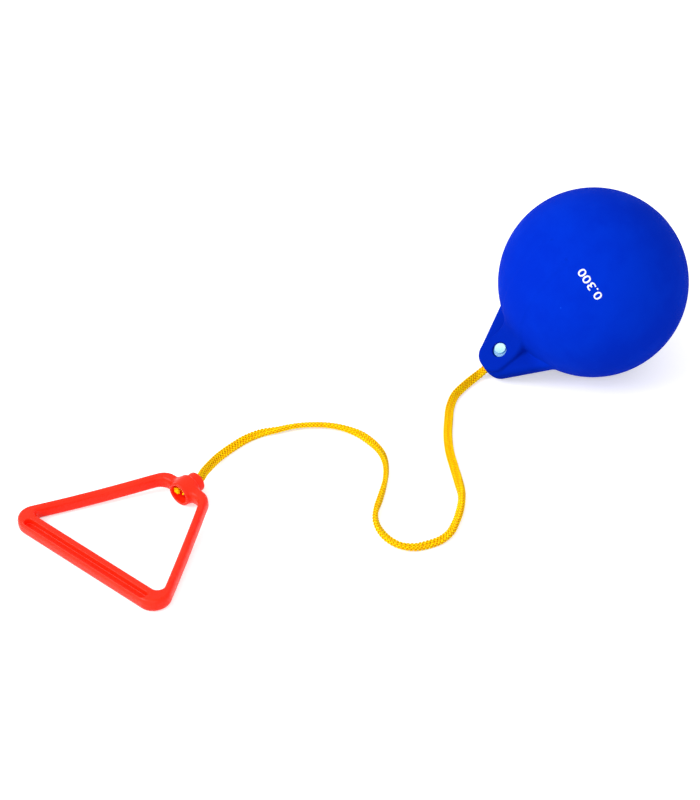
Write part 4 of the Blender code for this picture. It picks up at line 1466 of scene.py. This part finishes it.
def frayed_tree():
    """Fibres that fan out of a cord's cut end. The random length's inputs 2 and 3 are its bounds."""
    tree, given, out = geometry_tree(
        "frayed end",
        [
            ("Fibres", "NodeSocketInt", 80),
            ("Spread", "NodeSocketFloat", 0.9),
            ("Length", "NodeSocketFloat", TUFT_LENGTH),
            ("Thickness", "NodeSocketFloat", FIBRE_THICKNESS),
            ("End Radius", "NodeSocketFloat", TUFT_RADIUS),
            ("Seed", "NodeSocketInt", 1),
            ("Material", "NodeSocketMaterial", None),
        ],
    )
    given = given.outputs
    placed, offset = disc_points(tree, given)
    turned = fibre_turn(tree, given, offset)
    length = add_node(
        tree,
        "FunctionNodeRandomValue",
        {2: FIBRE_SHORTEST, 3: 1.0, "Seed": given["Seed"]},
        data_type="FLOAT",
    ).outputs[1]
    length = math_node(tree, "MULTIPLY", length, given["Length"])
    scale = add_node(
        tree,
        "ShaderNodeCombineXYZ",
        {"X": given["Thickness"], "Y": given["Thickness"], "Z": length},
    ).outputs[0]
    instances = add_node(
        tree,
        "GeometryNodeInstanceOnPoints",
        {"Points": placed, "Instance": fibre_mesh(tree), "Rotation": turned, "Scale": scale},
    ).outputs[0]
    tree.links.new(dressed_instances(tree, instances, given), out.inputs["Geometry"])
    return tree


FRAYED = frayed_tree()

# The two cut ends: the name and the model node of each, where it stands across and above the boss's
# axis, how deep inside the mouth its tip is, how wide its fibres fan, how many they are, and its seed
CUT_ENDS = [
    ("end_a", "cord_end_a", 0.0029, 0.0004, 0.0008, 1.0, 220, 5),
    ("end_b", "cord_end_b", -0.0024, 0.0016, 0.0042, 0.2, 60, 6),
]


def make_cut_end(name, node, across, above, depth, spread, fibres, seed, yarn, core):
    """One cut end: a short stub of cord out of the knot and the tuft of fibres at its end."""
    base = KNOT_TOP - KNOT_LENGTH / 2
    tip = MOUTH_DISTANCE + depth + TUFT_LENGTH
    reaches = [base + (tip - base) * step / STUB_STEPS for step in range(STUB_STEPS + 1)]
    stub = [HANDLE_PLACE @ Vector((reach, across, above)) for reach in reaches]
    core_piece = core_tube(name + "_core", stub, core)
    upright = HANDLE_PLACE.to_3x3() @ Vector((0.0, 0.0, 1.0))
    stitches = braid(name + "_braid", stub, [upright] * len(stub), yarn, seed + STUB_SEED_SHIFT)
    guide = line_object(name + "_guide", [Vector(), Vector((0.0, 0.0, TUFT_LENGTH))], [upright] * 2)
    tuft = grown(
        name + "_tuft",
        guide,
        FRAYED,
        Fibres=fibres,
        Spread=spread,
        Length=TUFT_LENGTH,
        Seed=seed,
        Material=yarn,
    )
    turn = HANDLE_PLACE.to_3x3() @ Matrix.Rotation(-math.pi / 2, 3, "Y")
    place = turn.to_4x4()
    place.translation = stub[-1]
    tuft.data.transform(place)
    pieces = [core_piece, stitches, tuft]
    mount_piece(core_piece, CORD_BODY, "cord_braid", node)
    for piece in pieces[1:]:
        mount_piece(piece, CORD_BODY, "cord_braid")
    return pieces


# Floor and light

FLOOR_SIZE = 20.0
FLOOR_GLOW = 0.45
WORLD_STRENGTH = 0.90
LAMP_SIZE = 1.0
LAMP_AIM = (0.0, 0.0, 0.03)
KEY_PLACE = (-1.2, 0.7, 1.0)
KEY_POWER = 22.0
FRONT_PLACE = (-1.2, -0.9, 0.8)
FRONT_POWER = 5.0


def floor_material():
    """Matt white that glows where the camera sees it, so that its shadow stays and the rest is white."""
    made = bpy.data.materials.new("floor_white")
    made.use_nodes = True
    tree = made.node_tree
    tree.nodes.clear()
    rays = add_node(tree, "ShaderNodeLightPath")
    seen = math_node(tree, "MAXIMUM", rays.outputs["Is Camera Ray"], rays.outputs["Is Glossy Ray"])
    seen = math_node(tree, "MAXIMUM", seen, rays.outputs["Is Transmission Ray"])
    matt = add_node(tree, "ShaderNodeBsdfDiffuse", {"Color": FLOOR_GREY})
    glow = add_node(tree, "ShaderNodeEmission", {"Color": WHITE, "Strength": FLOOR_GLOW})
    both = add_node(tree, "ShaderNodeAddShader", {0: matt.outputs[0], 1: glow.outputs[0]})
    mixed = add_node(
        tree, "ShaderNodeMixShader", {"Fac": seen, 1: matt.outputs[0], 2: both.outputs[0]}
    )
    add_node(tree, "ShaderNodeOutputMaterial", {"Surface": mixed.outputs[0]})
    return made


def make_floor():
    """A wide pale floor that shows white to the camera and keeps the hammer's shadow."""
    mesh = bpy.data.meshes.new("floor")
    shape = bmesh.new()
    bmesh.ops.create_grid(shape, x_segments=1, y_segments=1, size=FLOOR_SIZE)
    shape.to_mesh(mesh)
    shape.free()
    mesh.materials.append(floor_material())
    add_object("floor", mesh)


def area_light(name, place, power):
    """A square lamp that faces the hammer."""
    data = bpy.data.lights.new(name, "AREA")
    data.energy = power
    data.size = LAMP_SIZE
    lamp = add_object(name, data)
    lamp.location = place
    aim = Vector(LAMP_AIM) - Vector(place)
    lamp.rotation_euler = aim.to_track_quat("-Z", "Y").to_euler()


def set_light():
    """A pale sky, white where the camera sees it, a key lamp at the left and a weak one by the camera."""
    world = bpy.data.worlds.new("studio")
    world.use_nodes = True
    tree = world.node_tree
    background = tree.nodes["Background"]
    background.inputs["Color"].default_value = WHITE
    rays = add_node(tree, "ShaderNodeLightPath").outputs
    seen = math_node(tree, "MAXIMUM", rays["Is Camera Ray"], rays["Is Transmission Ray"])
    level = math_node(tree, "MULTIPLY_ADD", seen, 1.0 - WORLD_STRENGTH, WORLD_STRENGTH)
    tree.links.new(level, background.inputs["Strength"])
    bpy.context.scene.world = world
    area_light("key", KEY_PLACE, KEY_POWER)
    area_light("front", FRONT_PLACE, FRONT_POWER)
    bpy.context.scene.view_settings.view_transform = "Standard"


def main():
    blue = ball_material()
    yarn = yarn_material()
    core = core_material()
    make_ball(blue)
    make_seam(blue)
    make_number(print_material())
    make_plug(plug_material())
    make_pin(pin_material(TONGUE_THICKNESS / 2 - PIN_RECESS))
    make_handle(handle_material())
    on_cord = make_knot(yarn, core)
    for end in CUT_ENDS:
        on_cord += make_cut_end(*end, yarn, core)
    make_cord(yarn, core)
    make_floor()
    set_light()


main()
